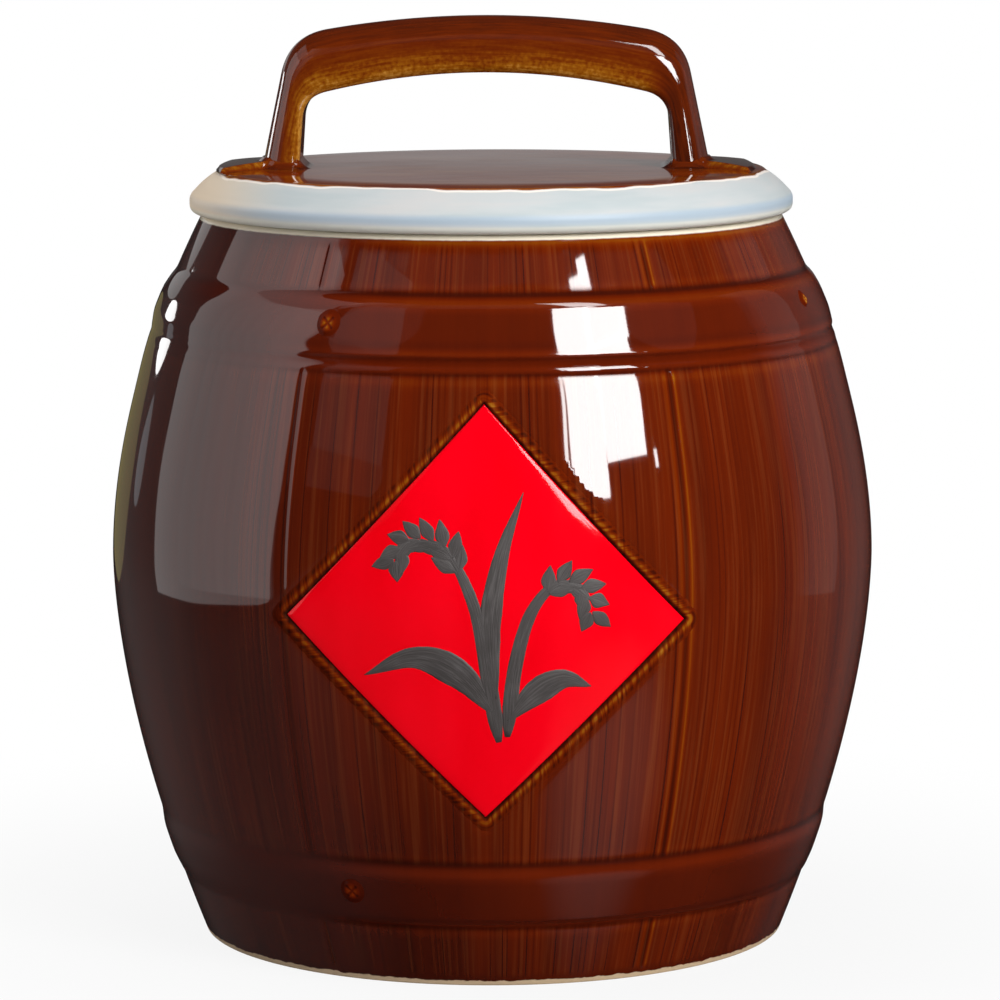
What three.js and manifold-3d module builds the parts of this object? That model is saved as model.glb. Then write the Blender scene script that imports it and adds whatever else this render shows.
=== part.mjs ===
// A rice storage jar: a glazed stoneware barrel with moulded staves and hoops, a red
// enamel panel set in its front, and a lift-off lid with a strap handle and a seal.
// Millimetres, +Z up. The origin is at the middle of the foot and the front faces -Y.
import * as THREE from "three";
import { mergeVertices } from "three/addons/utils/BufferGeometryUtils.js";
import Module from "manifold-3d";

const wasm = await Module();
wasm.setup();

// Barrel
const JAR_HEIGHT = 274;
const BELLY_HEIGHT = 145;
const BELLY_RADIUS = 145;
const FOOT_RADIUS = 109.5;
const LIP_RADIUS = 109.3;
const LOWER_FULLNESS = 1.68; // power of the curve from belly to foot: 2 is a parabola
const UPPER_FULLNESS = 1.95; // power of the curve from belly to lip
const FOOT_EDGE = 2; // rounding of the foot's outer edge
const LIP_EDGE = 1.4; // rounding of the lip's outer edge
const WALL = 8;
const FLOOR_THICKNESS = 10;
const FLOOR_FILLET = 8;
const FOOT_RING_WIDTH = 13;
const FOOT_RECESS = 3;

// Mouth
const LIP_WIDTH = 8.3; // flat land from the lip's edge to the mouth
const MOUTH_LAND = 16; // height of the straight mouth
const MOUTH_TAPER = 14; // height over which the wall thickens towards the mouth

// Staves and hoops
const STAVES = 6;
const SEAM_WIDTH = 2.6;
const SEAM_DEPTH = 1;
const SEAM_END = 6; // plain rim left at the foot and at the lip
const SEAM_STOP = 0.6; // plain rim left beside a hoop
const HOOP_RELIEF = 1.8;
const HOOP_SQUARENESS = 4; // power of the hoop's rounded section
const FOOT_BAND = 23.7; // plain band below the lower hoop
const LOWER_HOOP_WIDTH = 25;
const LIP_BAND = 19.4; // plain band above the upper hoop
const UPPER_HOOP_WIDTH = 22.4;
const BEAD_GAP = 0.4;
const BEAD_WIDTH = 4.8;

// Nail heads moulded on the hoops, placed by their degrees from the front
const LOWER_NAILS = [-23, 97, 217];
const UPPER_NAILS = [-26.4, 67.6, 157.6, 247.6];
const NAIL_RADIUS = 4.3;
const NAIL_RISE = 1.2;

// Diamond panel
const PANEL_HEIGHT = 141.4; // of its middle
const PANEL_HALF_WIDTH = 71.6;
const PANEL_HALF_HEIGHT = 74.6;
const PANEL_SINK = 0.4; // enamel surface below the barrel's surface
const POCKET_DEPTH = 1.8;
const FRAME_SET_BACK = 0.9; // from the pocket's edge, square to it
const FRAME_WIDTH = 3;
const FRAME_RELIEF = 0.6;

// Lid
const LID_OVERHANG = 4.5;
const LID_RISE = 16.2; // from the seat to the flat top
const NOSE_LOW = 3.3; // height of the undercut below the rim's nose
const NOSE_HIGH = 6.6; // top of the rim's upright face above the seat
const NOSE_UNDERCUT = 3.8;
const BEVEL_WIDTH = 10.9;
const BEVEL_EDGE = 1.6; // rounding where the bevel meets the flat top
const LID_THICKNESS = 8;
const DISH_FILLET = 4;
const SPIGOT_DEPTH = 13;
const SPIGOT_WALL = 9;
const SPIGOT_EDGE = 1.5;

// Seal ring in its groove round the spigot
const SEAL_REACH = 4.5; // from the spigot to the mouth
const GROOVE_DEPTH = 3;
const GROOVE_HEIGHT = 8;
const GROOVE_DROP = 2.5; // from the seat to the groove's top
const SEAL_FINS = 3;
const FIN_ROOT = 1.7;
const FIN_TIP = 0.7;

// Strap handle
const HANDLE_INSET = 18.3; // from the flat top's edge to the legs
const HANDLE_HEIGHT = 57;
const HANDLE_DEPTH = 30;
const GRIP_HEIGHT = 21;
const GRIP_ARCH = 7.9;
const FINGER_ARCH = 9.3;
const LEG_THICKNESS = 14.5;
const LEG_LEAN = 10.2;
const FINGER_LEAN = 1.9;
const KNEE_REACH = 14;
const FINGER_KNEE_REACH = 8;
const ARRIS = 3.5;
const CROWN_SHARE = 0.55; // part of the strap's thickness that is rounded
const FOOT_FLARE = 3; // spread of each leg at its foot
const FLARE_HEIGHT = 5;
const FAN_WIDTH = 58; // of a foot's fan at the lid's edge
const FAN_ROOT = 3.4; // height of the fan at the leg
const FAN_TIP = 1.3; // height of the fan at the lid's edge
const FAN_ARRIS = 2.2; // width of the fan's sloped edge
const FAN_SPREAD = 1.6; // power of the fan's widening

// Clearances
const SEAT_GAP = 0.3; // lid over lip
const LUTE_GAP = 0.3; // handle over lid
const BED_GAP = 0.3; // panel in its pocket
const SEAL_GAP = 0.4; // seal in its groove and in the mouth
const OVERCUT = 5; // how far a cutting solid stands past what it cuts

// Fineness of curves
const ROUND_STEPS = 60;
const ROW_PITCH = 18; // rows up the outside
const INSIDE_PITCH = 26; // rows up the inside
const HOOP_STEPS = 6;
const BEAD_STEPS = 4;
const CURVE_STEPS = 3;
const CROWN_STEPS = 8;
const FLARE_STEPS = 3;
const FAN_STEPS = 4;
const KNEE_STEPS = 5;
const NAIL_STEPS = 8;
const ARRIS_CUT = 1 - Math.SQRT1_2; // a round arris at its middle

// Places worked out from the sizes above
const MOUTH_RADIUS = LIP_RADIUS - LIP_WIDTH;
const FLOOR_LEVEL = FOOT_RECESS + FLOOR_THICKNESS;
const SEAT_LEVEL = JAR_HEIGHT + SEAT_GAP;
const LID_RADIUS = LIP_RADIUS + LID_OVERHANG;
const LID_TOP = SEAT_LEVEL + LID_RISE;
const TOP_RADIUS = LID_RADIUS - BEVEL_WIDTH;
const SPIGOT_RADIUS = MOUTH_RADIUS - SEAL_REACH;
const GROOVE_RADIUS = SPIGOT_RADIUS - GROOVE_DEPTH;
const GROOVE_TOP = SEAT_LEVEL - GROOVE_DROP;
const GROOVE_BOTTOM = GROOVE_TOP - GROOVE_HEIGHT;
const LOWER_HOOP_TOP = FOOT_BAND + LOWER_HOOP_WIDTH;
const UPPER_HOOP_TOP = JAR_HEIGHT - LIP_BAND;
const UPPER_HOOP_BOTTOM = UPPER_HOOP_TOP - UPPER_HOOP_WIDTH;
const BEAD_TOP = UPPER_HOOP_BOTTOM - BEAD_GAP;
const BEAD_BOTTOM = BEAD_TOP - BEAD_WIDTH;

// Closed three.js geometry as a solid
function solid(geometry) {
  const plain = geometry.index ? geometry.toNonIndexed() : geometry.clone();
  plain.deleteAttribute("normal");
  plain.deleteAttribute("uv");
  const merged = mergeVertices(plain, 1e-4);
  const mesh = new wasm.Mesh({
    numProp: 3,
    vertProperties: merged.attributes.position.array,
    triVerts: new Uint32Array(merged.index.array),
  });
  return new wasm.Manifold(mesh);
}

// Solid back to a three.js geometry
function geometryOf(body) {
  const mesh = body.getMesh();
  const geometry = new THREE.BufferGeometry();
  geometry.setAttribute("position", new THREE.BufferAttribute(mesh.vertProperties, 3));
  geometry.setIndex(new THREE.BufferAttribute(mesh.triVerts, 1));
  geometry.computeVertexNormals();
  return geometry;
}

// Turned solid: a profile of (radius, height) points, its angle counted from the front
function turned(points) {
  const geometry = new THREE.LatheGeometry(points, ROUND_STEPS);
  geometry.rotateX(Math.PI / 2);
  return solid(geometry);
}

// Solid skinned over rings that have the same number of points, closed at both ends
function lofted(rings) {
  const count = rings[0].length;
  const positions = rings.flat().flatMap((point) => [point.x, point.y, point.z]);
  const faces = [];
  for (let ring = 0; ring + 1 < rings.length; ring++) {
    for (let side = 0; side < count; side++) {
      const next = (side + 1) % count;
      const a = ring * count + side;
      const b = ring * count + next;
      faces.push(a, b, b + count, a, b + count, a + count);
    }
  }
  const last = (rings.length - 1) * count;
  for (let side = 1; side + 1 < count; side++) {
    faces.push(0, side + 1, side);
    faces.push(last, last + side, last + side + 1);
  }
  const geometry = new THREE.BufferGeometry();
  geometry.setAttribute("position", new THREE.Float32BufferAttribute(positions, 3));
  geometry.setIndex(faces);
  return solid(geometry);
}

// Radius of the plain barrel at a height
function barrelRadius(height) {
  const below = height < BELLY_HEIGHT;
  const run = below ? BELLY_HEIGHT : JAR_HEIGHT - BELLY_HEIGHT;
  const end = below ? FOOT_RADIUS : LIP_RADIUS;
  const fullness = below ? LOWER_FULLNESS : UPPER_FULLNESS;
  const share = Math.abs(height - BELLY_HEIGHT) / run;
  return BELLY_RADIUS - (BELLY_RADIUS - end) * share ** fullness;
}

// Heights of rows from one height to another, with a row at the belly
function heights(low, high, pitch) {
  if (low < BELLY_HEIGHT && BELLY_HEIGHT < high) {
    return [...heights(low, BELLY_HEIGHT, pitch), ...heights(BELLY_HEIGHT, high, pitch).slice(1)];
  }
  const rows = Math.ceil((high - low) / pitch);
  return Array.from({ length: rows + 1 }, (_, row) => low + ((high - low) * row) / rows);
}

// Plain solid barrel whose side lies a given distance outside the jar's own
function plainBarrel(offset) {
  const profile = [new THREE.Vector2(0, 0)];
  for (const height of heights(0, JAR_HEIGHT, ROW_PITCH)) {
    profile.push(new THREE.Vector2(barrelRadius(height) + offset, height));
  }
  profile.push(new THREE.Vector2(0, JAR_HEIGHT));
  return turned(profile);
}

// Points up a plain band of the barrel
function band(bottom, top) {
  const rows = heights(bottom, top, ROW_PITCH);
  return rows.map((height) => new THREE.Vector2(barrelRadius(height), height));
}

// Points up a hoop's rounded section
function hoop(bottom, width, steps) {
  const points = [];
  for (let step = 0; step <= steps; step++) {
    const across = -Math.cos((Math.PI * step) / steps);
    const height = bottom + (width * (1 + across)) / 2;
    const rise = HOOP_RELIEF * Math.sqrt(1 - Math.abs(across) ** HOOP_SQUARENESS);
    points.push(new THREE.Vector2(barrelRadius(height) + rise, height));
  }
  return points;
}

// Solid barrel with its hoops, its foot's edge and its lip's edge
function hoopedBarrel() {
  const profile = new THREE.Path();
  profile.moveTo(0, 0);
  profile.lineTo(FOOT_RADIUS - FOOT_EDGE, 0);
  profile.quadraticCurveTo(FOOT_RADIUS, 0, barrelRadius(FOOT_EDGE), FOOT_EDGE);
  const side = [
    ...band(FOOT_EDGE, FOOT_BAND).slice(1),
    ...hoop(FOOT_BAND, LOWER_HOOP_WIDTH, HOOP_STEPS).slice(1),
    ...band(LOWER_HOOP_TOP, BEAD_BOTTOM).slice(1),
    ...hoop(BEAD_BOTTOM, BEAD_WIDTH, BEAD_STEPS).slice(1),
    ...hoop(UPPER_HOOP_BOTTOM, UPPER_HOOP_WIDTH, HOOP_STEPS),
    ...band(UPPER_HOOP_TOP, JAR_HEIGHT - LIP_EDGE).slice(1),
  ];
  for (const point of side) {
    profile.lineTo(point.x, point.y);
  }
  profile.quadraticCurveTo(LIP_RADIUS, JAR_HEIGHT, LIP_RADIUS - LIP_EDGE, JAR_HEIGHT);
  profile.lineTo(0, JAR_HEIGHT);
  return turned(profile.getPoints(CURVE_STEPS));
}

// Inside of the jar, open upwards through the mouth
function cavity() {
  const wallEnd = JAR_HEIGHT - MOUTH_LAND - MOUTH_TAPER;
  const filletEnd = FLOOR_LEVEL + FLOOR_FILLET;
  const corner = barrelRadius(FLOOR_LEVEL) - WALL;
  const profile = new THREE.Path();
  profile.moveTo(0, FLOOR_LEVEL);
  profile.lineTo(corner - FLOOR_FILLET, FLOOR_LEVEL);
  profile.quadraticCurveTo(corner, FLOOR_LEVEL, barrelRadius(filletEnd) - WALL, filletEnd);
  for (const height of heights(filletEnd, wallEnd, INSIDE_PITCH)) {
    profile.lineTo(barrelRadius(height) - WALL, height);
  }
  profile.lineTo(MOUTH_RADIUS, JAR_HEIGHT - MOUTH_LAND);
  profile.lineTo(MOUTH_RADIUS, JAR_HEIGHT + OVERCUT);
  profile.lineTo(0, JAR_HEIGHT + OVERCUT);
  return turned(profile.getPoints(CURVE_STEPS));
}

// Shallow hollow inside the foot ring
function footRecess() {
  const radius = FOOT_RADIUS - FOOT_RING_WIDTH;
  const profile = new THREE.Path();
  profile.moveTo(0, -OVERCUT);
  profile.lineTo(radius, -OVERCUT);
  profile.lineTo(radius, 0);
  profile.lineTo(radius - FOOT_RECESS, FOOT_RECESS);
  profile.lineTo(0, FOOT_RECESS);
  return turned(profile.getPoints());
}

// V-shaped blade that cuts a seam between two staves, up one band of the barrel
function seamBlade(bottom, top, angle) {
  const flank = (SEAM_WIDTH / 2) * (1 + OVERCUT / SEAM_DEPTH);
  const rings = heights(bottom, top, ROW_PITCH).map((height) => {
    const radius = barrelRadius(height);
    return [
      new THREE.Vector3(-flank, -radius - OVERCUT, height),
      new THREE.Vector3(flank, -radius - OVERCUT, height),
      new THREE.Vector3(0, -radius + SEAM_DEPTH, height),
    ];
  });
  return lofted(rings).rotate([0, 0, angle]);
}

// Domed nail heads round the middle of a hoop
function nails(height, turns) {
  const reach = barrelRadius(height) + HOOP_RELIEF;
  const slope = Math.atan((barrelRadius(height + 1) - barrelRadius(height - 1)) / 2);
  const heads = turns.map((turn) => {
    const dome = new THREE.SphereGeometry(1, NAIL_STEPS, NAIL_STEPS / 2);
    dome.scale(NAIL_RADIUS, NAIL_RISE, NAIL_RADIUS);
    dome.rotateX(slope);
    dome.translate(0, -reach, height);
    return solid(dome).rotate([0, 0, turn]);
  });
  return heads.reduce((all, head) => all.add(head));
}

// Diamond prism from the jar's axis out through its front; grow is square to its edges
function diamond(grow) {
  const slant = Math.hypot(PANEL_HALF_WIDTH, PANEL_HALF_HEIGHT);
  const halfWidth = PANEL_HALF_WIDTH + (grow * slant) / PANEL_HALF_HEIGHT;
  const halfHeight = PANEL_HALF_HEIGHT + (grow * slant) / PANEL_HALF_WIDTH;
  const outline = new THREE.Shape();
  outline.moveTo(halfWidth, 0);
  outline.lineTo(0, halfHeight);
  outline.lineTo(-halfWidth, 0);
  outline.lineTo(0, -halfHeight);
  const depth = BELLY_RADIUS + OVERCUT;
  const prism = new THREE.ExtrudeGeometry(outline, { depth, bevelEnabled: false });
  prism.rotateX(Math.PI / 2);
  prism.translate(0, 0, PANEL_HEIGHT);
  return solid(prism);
}

// Jar in one piece: staves, hoops, nail heads, framed pocket, mouth and foot ring
function jarBody() {
  let body = hoopedBarrel();
  const seams = [
    [SEAM_END, FOOT_BAND - SEAM_STOP],
    [LOWER_HOOP_TOP + SEAM_STOP, BEAD_BOTTOM - SEAM_STOP],
    [UPPER_HOOP_TOP + SEAM_STOP, JAR_HEIGHT - SEAM_END],
  ];
  for (let stave = 0; stave < STAVES; stave++) {
    const angle = (360 / STAVES) * (stave + 0.5);
    for (const [bottom, top] of seams) {
      body = body.subtract(seamBlade(bottom, top, angle));
    }
  }
  body = body.add(nails(FOOT_BAND + LOWER_HOOP_WIDTH / 2, LOWER_NAILS));
  body = body.add(nails(UPPER_HOOP_BOTTOM + UPPER_HOOP_WIDTH / 2, UPPER_NAILS));
  const frameInside = diamond(BED_GAP + FRAME_SET_BACK);
  const frameOutside = diamond(BED_GAP + FRAME_SET_BACK + FRAME_WIDTH);
  body = body.add(frameOutside.subtract(frameInside).intersect(plainBarrel(FRAME_RELIEF)));
  body = body.subtract(diamond(BED_GAP).subtract(plainBarrel(-POCKET_DEPTH)));
  return body.subtract(cavity()).subtract(footRecess());
}

// Enamel panel bedded in the pocket, curved as the barrel is
function redPanel() {
  const face = diamond(0).intersect(plainBarrel(-PANEL_SINK));
  return face.subtract(plainBarrel(-POCKET_DEPTH + BED_GAP));
}

// Lid: flat top, bevelled rim with a rounded nose, spigot with the seal's groove, dish
function lidBody() {
  const ceiling = LID_TOP - LID_THICKNESS;
  const dishRadius = SPIGOT_RADIUS - SPIGOT_WALL;
  const spigotEnd = SEAT_LEVEL - SPIGOT_DEPTH;
  const noseTop = SEAT_LEVEL + NOSE_HIGH;
  const bevelSlope = (LID_TOP - noseTop) / BEVEL_WIDTH;
  const profile = new THREE.Path();
  profile.moveTo(0, ceiling);
  profile.lineTo(dishRadius - DISH_FILLET, ceiling);
  profile.quadraticCurveTo(dishRadius, ceiling, dishRadius, ceiling - DISH_FILLET);
  profile.lineTo(dishRadius, spigotEnd);
  profile.lineTo(SPIGOT_RADIUS - SPIGOT_EDGE, spigotEnd);
  profile.lineTo(SPIGOT_RADIUS, spigotEnd + SPIGOT_EDGE);
  profile.lineTo(SPIGOT_RADIUS, GROOVE_BOTTOM);
  profile.lineTo(GROOVE_RADIUS, GROOVE_BOTTOM);
  profile.lineTo(GROOVE_RADIUS, GROOVE_TOP);
  profile.lineTo(SPIGOT_RADIUS, GROOVE_TOP);
  profile.lineTo(SPIGOT_RADIUS, SEAT_LEVEL);
  profile.lineTo(LID_RADIUS - NOSE_UNDERCUT, SEAT_LEVEL);
  profile.quadraticCurveTo(LID_RADIUS, SEAT_LEVEL, LID_RADIUS, SEAT_LEVEL + NOSE_LOW);
  profile.lineTo(LID_RADIUS, noseTop - BEVEL_EDGE);
  const bevelStart = noseTop + BEVEL_EDGE * bevelSlope;
  profile.quadraticCurveTo(LID_RADIUS, noseTop, LID_RADIUS - BEVEL_EDGE, bevelStart);
  profile.lineTo(TOP_RADIUS + BEVEL_EDGE, LID_TOP - BEVEL_EDGE * bevelSlope);
  profile.quadraticCurveTo(TOP_RADIUS, LID_TOP, TOP_RADIUS - BEVEL_EDGE, LID_TOP);
  profile.lineTo(0, LID_TOP);
  return turned(profile.getPoints(CURVE_STEPS));
}

// Silicone ring with fins that reach the mouth's wall
function sealRing() {
  const inside = GROOVE_RADIUS + SEAL_GAP;
  const tip = MOUTH_RADIUS - SEAL_GAP;
  const bottom = GROOVE_BOTTOM + SEAL_GAP;
  const top = GROOVE_TOP - SEAL_GAP;
  const pitch = (top - bottom) / SEAL_FINS;
  const profile = new THREE.Path();
  profile.moveTo(inside, bottom);
  for (let fin = 0; fin < SEAL_FINS; fin++) {
    const middle = bottom + pitch * (fin + 0.5);
    profile.lineTo(SPIGOT_RADIUS, middle - FIN_ROOT / 2);
    profile.lineTo(tip, middle - FIN_TIP / 2);
    profile.lineTo(tip, middle + FIN_TIP / 2);
    profile.lineTo(SPIGOT_RADIUS, middle + FIN_ROOT / 2);
  }
  profile.lineTo(inside, top);
  profile.lineTo(inside, bottom);
  return turned(profile.getPoints());
}

// Half of an arch from its foot up to its crown, as points (across, up)
function halfArch(foot, lean, rise, arch, reach) {
  const start = new THREE.Vector2(foot, 0);
  const corner = new THREE.Vector2(foot - lean, rise - arch);
  const kneeStart = corner.clone().add(start.clone().sub(corner).setLength(reach));
  const along = corner.x - reach;
  const kneeEnd = new THREE.Vector2(along, rise - arch * (along / corner.x) ** 2);
  const crown = new THREE.Vector2(0, rise);
  const crownPull = new THREE.Vector2(along / 2, rise);
  const leg = new THREE.LineCurve(start, kneeStart);
  const knee = new THREE.QuadraticBezierCurve(kneeStart, corner, kneeEnd);
  const grip = new THREE.QuadraticBezierCurve(kneeEnd, crownPull, crown);
  const points = [];
  for (let step = 0; step <= FLARE_STEPS; step++) {
    points.push(leg.getPoint((FLARE_HEIGHT * step) / FLARE_STEPS / kneeStart.y));
  }
  return [...points, ...knee.getPoints(KNEE_STEPS), ...grip.getPoints(CURVE_STEPS).slice(1)];
}

// Section of the strap: flat towards the fingers, rounded outside
function strapRing(inner, outer, halfDepth) {
  const thickness = inner.distanceTo(outer);
  const shoulder = thickness * (1 - CROWN_SHARE);
  const arris = Math.min(ARRIS, shoulder);
  const section = [
    [halfDepth, arris],
    [halfDepth - arris * ARRIS_CUT, arris * ARRIS_CUT],
    [halfDepth - arris, 0],
    [arris - halfDepth, 0],
    [arris * ARRIS_CUT - halfDepth, arris * ARRIS_CUT],
    [-halfDepth, arris],
  ];
  for (let step = 0; step <= CROWN_STEPS; step++) {
    const angle = (Math.PI * step) / CROWN_STEPS;
    const up = shoulder + (thickness - shoulder) * Math.sin(angle);
    section.push([-halfDepth * Math.cos(angle), up]);
  }
  return section.map(([across, up]) => {
    const point = inner.clone().lerp(outer, up / thickness);
    return new THREE.Vector3(point.x, across, point.y);
  });
}

// Fan that widens from a leg's foot out to the edge of the lid's top
function footFan(legMiddle) {
  const edge = TOP_RADIUS - BEVEL_EDGE;
  const rings = [];
  for (let step = 0; step <= FAN_STEPS; step++) {
    const out = step / FAN_STEPS;
    const x = THREE.MathUtils.lerp(legMiddle, TOP_RADIUS, out);
    const half = THREE.MathUtils.lerp(HANDLE_DEPTH, FAN_WIDTH, out ** FAN_SPREAD) / 2;
    const rise = THREE.MathUtils.lerp(FAN_ROOT, FAN_TIP, out);
    rings.push([
      new THREE.Vector3(x, -half, 0),
      new THREE.Vector3(x, half, 0),
      new THREE.Vector3(x, half - FAN_ARRIS, rise),
      new THREE.Vector3(x, FAN_ARRIS - half, rise),
    ]);
  }
  const lidTop = new THREE.CylinderGeometry(edge, edge, HANDLE_HEIGHT, ROUND_STEPS);
  lidTop.rotateX(Math.PI / 2);
  return lofted(rings).intersect(solid(lidTop));
}

// Strap handle: two leaning legs, an arched grip, and a fan at each foot
function lidHandle() {
  const outerFoot = TOP_RADIUS - HANDLE_INSET;
  const innerFoot = outerFoot - LEG_THICKNESS;
  const fingerRise = HANDLE_HEIGHT - GRIP_HEIGHT;
  const outer = halfArch(outerFoot, LEG_LEAN, HANDLE_HEIGHT, GRIP_ARCH, KNEE_REACH);
  const inner = halfArch(innerFoot, FINGER_LEAN, fingerRise, FINGER_ARCH, FINGER_KNEE_REACH);
  const half = outer.map((point, station) => {
    const spread = FOOT_FLARE * Math.max(0, 1 - point.y / FLARE_HEIGHT) ** 2;
    const outside = new THREE.Vector2(point.x + spread, point.y);
    const inside = new THREE.Vector2(inner[station].x - spread, inner[station].y);
    return strapRing(inside, outside, HANDLE_DEPTH / 2 + spread);
  });
  const mirrored = half.slice(0, -1).reverse().map((ring) =>
    ring.map((point) => new THREE.Vector3(-point.x, point.y, point.z)),
  );
  const fan = footFan((innerFoot + outerFoot) / 2);
  const handle = lofted([...half, ...mirrored]).add(fan).add(fan.mirror([1, 0, 0]));
  return handle.translate([0, 0, LID_TOP + LUTE_GAP]);
}

// A named piece with its own finish
function piece(name, body, colour, roughness) {
  const material = new THREE.MeshStandardMaterial({ color: colour, roughness, metalness: 0 });
  const mesh = new THREE.Mesh(geometryOf(body), material);
  mesh.name = name;
  return mesh;
}

const jar = new THREE.Group();
jar.add(piece("jar_body", jarBody(), 0x611d08, 0.12));
jar.add(piece("red_panel", redPanel(), 0xf8031e, 0.35));

const cover = new THREE.Group();
cover.add(piece("lid", lidBody(), 0xd2d7d6, 0.3));
cover.add(piece("lid_handle", lidHandle(), 0x67270c, 0.12));
cover.add(piece("seal_ring", sealRing(), 0xe6e4dc, 0.5));
jar.add(cover);

export default jar;
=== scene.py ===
"""Looks of a glazed stoneware rice jar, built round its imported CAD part.

Lengths are in millimetres until a mesh is made. The front faces -Y, and angles round the
jar are counted from the front towards +X.
"""

import math

import bmesh
import bpy
import numpy as np
from mathutils import Matrix, Vector


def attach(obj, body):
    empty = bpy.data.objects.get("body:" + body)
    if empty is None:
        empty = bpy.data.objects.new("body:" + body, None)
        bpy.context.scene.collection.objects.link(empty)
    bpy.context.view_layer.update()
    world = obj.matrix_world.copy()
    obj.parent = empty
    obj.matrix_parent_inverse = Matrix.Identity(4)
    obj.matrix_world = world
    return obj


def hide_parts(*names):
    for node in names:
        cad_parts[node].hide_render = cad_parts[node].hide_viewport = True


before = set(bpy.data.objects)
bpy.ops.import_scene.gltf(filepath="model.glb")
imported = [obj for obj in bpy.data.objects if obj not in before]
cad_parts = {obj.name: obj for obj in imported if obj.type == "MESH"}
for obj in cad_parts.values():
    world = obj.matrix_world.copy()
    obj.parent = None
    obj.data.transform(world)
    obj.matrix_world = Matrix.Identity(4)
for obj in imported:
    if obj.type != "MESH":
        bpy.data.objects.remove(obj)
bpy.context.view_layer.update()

MM = 0.001
JOINED_WITHIN = 2e-6  # metres

# Camera
CAMERA_DISTANCE = 1897.7
CAMERA_HEIGHT = 427.2
CAMERA_PITCH = 7.916
CAMERA_ROLL = -0.2
VIEW_TURN = 1.2  # how far right of the front the camera and its lamps stand
FOCAL_SHARE = 5.0194  # focal length over the picture's width
FRAME_SHIFT = 0.0078
SENSOR = 36.0

# Barrel
JAR_HEIGHT = 274.0
BELLY_HEIGHT = 145.0
BELLY_RADIUS = 144.6
FOOT_RADIUS = 110.4
LIP_RADIUS = 109.3
LOWER_FULLNESS = 1.68
UPPER_FULLNESS = 1.85
SHOULDER_RISE = 0.9
SHOULDER_HEIGHT = 228.0
SHOULDER_SPREAD = 15.0
FOOT_EDGE = 0.7
LIP_EDGE = 1.4
MOUTH_EDGE = 1.0
SMALL_EDGE = 1.0  # of the foot ring and the spigot, inside
WALL = 8.0
FLOOR_LEVEL = 13.0
FLOOR_FILLET = 8.0
FOOT_RING_INSIDE = 96.5
FOOT_RECESS = 3.0
MOUTH_RADIUS = 101.0
MOUTH_LAND = 16.0
MOUTH_TAPER = 14.0
NECK_ROUNDING = 3.0

# Staves, hoops and nail heads
STAVES = 6
STAVE_TURN = 360.0 / STAVES
FRONT_COLUMNS = 84  # of points across the front stave
STAVE_COLUMNS = 34  # of points across each other stave
SEAM_BANDS = ((4.0, 23.2), (48.6, 225.6), (254.4, 270.0))
SEAM_FADE = 1.6
SEAM_DEPTH = 0.4
SEAM_WIDTH = 1.0
# bottom, top, relief at both, and run of the lower and the upper edge of the two hoops
HOOPS = ((23.4, 48.2, 1.2, 1.3, 2.6, 6.0), (230.4, 253.6, 1.7, 2.4, 2.4, 3.4))
SOFT_RUN = 9.0  # run of a hoop's edges where the glaze lies thick
SOFT_SPREAD = 1.0  # how far outside the hoop those edges start
# height, width and relief of the bead and the grooves
RIDGES = ((227.9, 1.6, 0.35), (225.9, 1.0, -0.08), (48.6, 1.2, -0.12), (23.0, 0.9, -0.1))
# height, degrees from the front and size of each nail head
NAILS = (
    (36.2, -23.0, 1.0), (36.2, 97.0, 1.0), (36.2, 217.0, 1.0),
    (243.0, -26.4, 1.0), (244.9, 68.4, 0.65), (243.0, 157.6, 1.0), (243.0, 247.6, 1.0),
)
NAIL_RADIUS = 4.3
NAIL_RISE = 0.9
NAIL_ROOT = 1.5
NAIL_SKIRT = ((1.15, -0.06), (1.3, -0.8))  # radius, as a share, and rise of the rings round a head
SLOT_WIDTH = 0.75
SLOT_DEPTH = 0.3

# degrees from the front at which thick glaze starts, is full, thins and ends
THICK_LEFT = (-112, -86, -38, -12)
THICK_RIGHT = (30, 70, 100, 125)
# height, width and thinness of the glaze on the ridges and in the grooves round the jar
THIN_LINES = (
    (271.3, 1.5, 0.75), (256.0, 1.3, 0.15), (253.4, 1.0, -0.55), (250.4, 1.9, 0.5), (236.2, 1.2, -0.12),
    (233.3, 1.3, 0.32), (230.3, 1.2, -0.1), (227.8, 1.1, 0.22), (225.9, 0.8, -0.4), (223.3, 1.7, 0.3),
    (50.8, 1.4, 0.08), (48.2, 1.2, -0.4), (44.4, 2.2, 0.3), (26.2, 0.8, -0.2), (24.6, 0.7, 0.3),
    (23.0, 0.8, -0.3), (20.8, 1.4, 0.18),
)
# distance from a seam, width and thinness of the glaze beside it
SEAM_LINES = ((2.1, 0.7, 0.7), (-2.2, 0.9, 0.4), (0.0, 1.0, -0.5))
# height, width and dullness of the dull lines round the jar
DULL_LINES = (
    (270.0, 2.6, 1.0), (253.0, 2.2, 1.0), (229.8, 1.5, 1.0), (225.9, 0.8, 1.0), (48.3, 2.0, 0.7),
    (23.0, 1.2, 1.0),
)
SEAM_DULL_WIDTH = 3.0

# Diamond panel
PANEL_HEIGHT = 141.4
PANEL_HALF_WIDTH = 71.6
PANEL_HALF_HEIGHT = 74.6
PANEL_DROP = (1.9, 3.6)  # how far the left and the right corner lie below its middle
PANEL_SINK = 0.45
PANEL_BACK = 1.6
PANEL_EDGE = 1.8  # width of the sloping border of the enamel
EDGE_FALL = 0.28  # of that border
RIM_FALL = 0.4  # of the border's outermost part
POCKET_DEPTH = 2.0
POCKET_WALL = (0.6, 4.6)  # where the pocket's wall starts and ends outside the panel's edge
FRAME_BACK = 2.2
SLANT = math.hypot(PANEL_HALF_WIDTH, PANEL_HALF_HEIGHT)
PANEL_REACH = PANEL_HALF_WIDTH * PANEL_HALF_HEIGHT / SLANT  # from its middle to an edge

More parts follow.
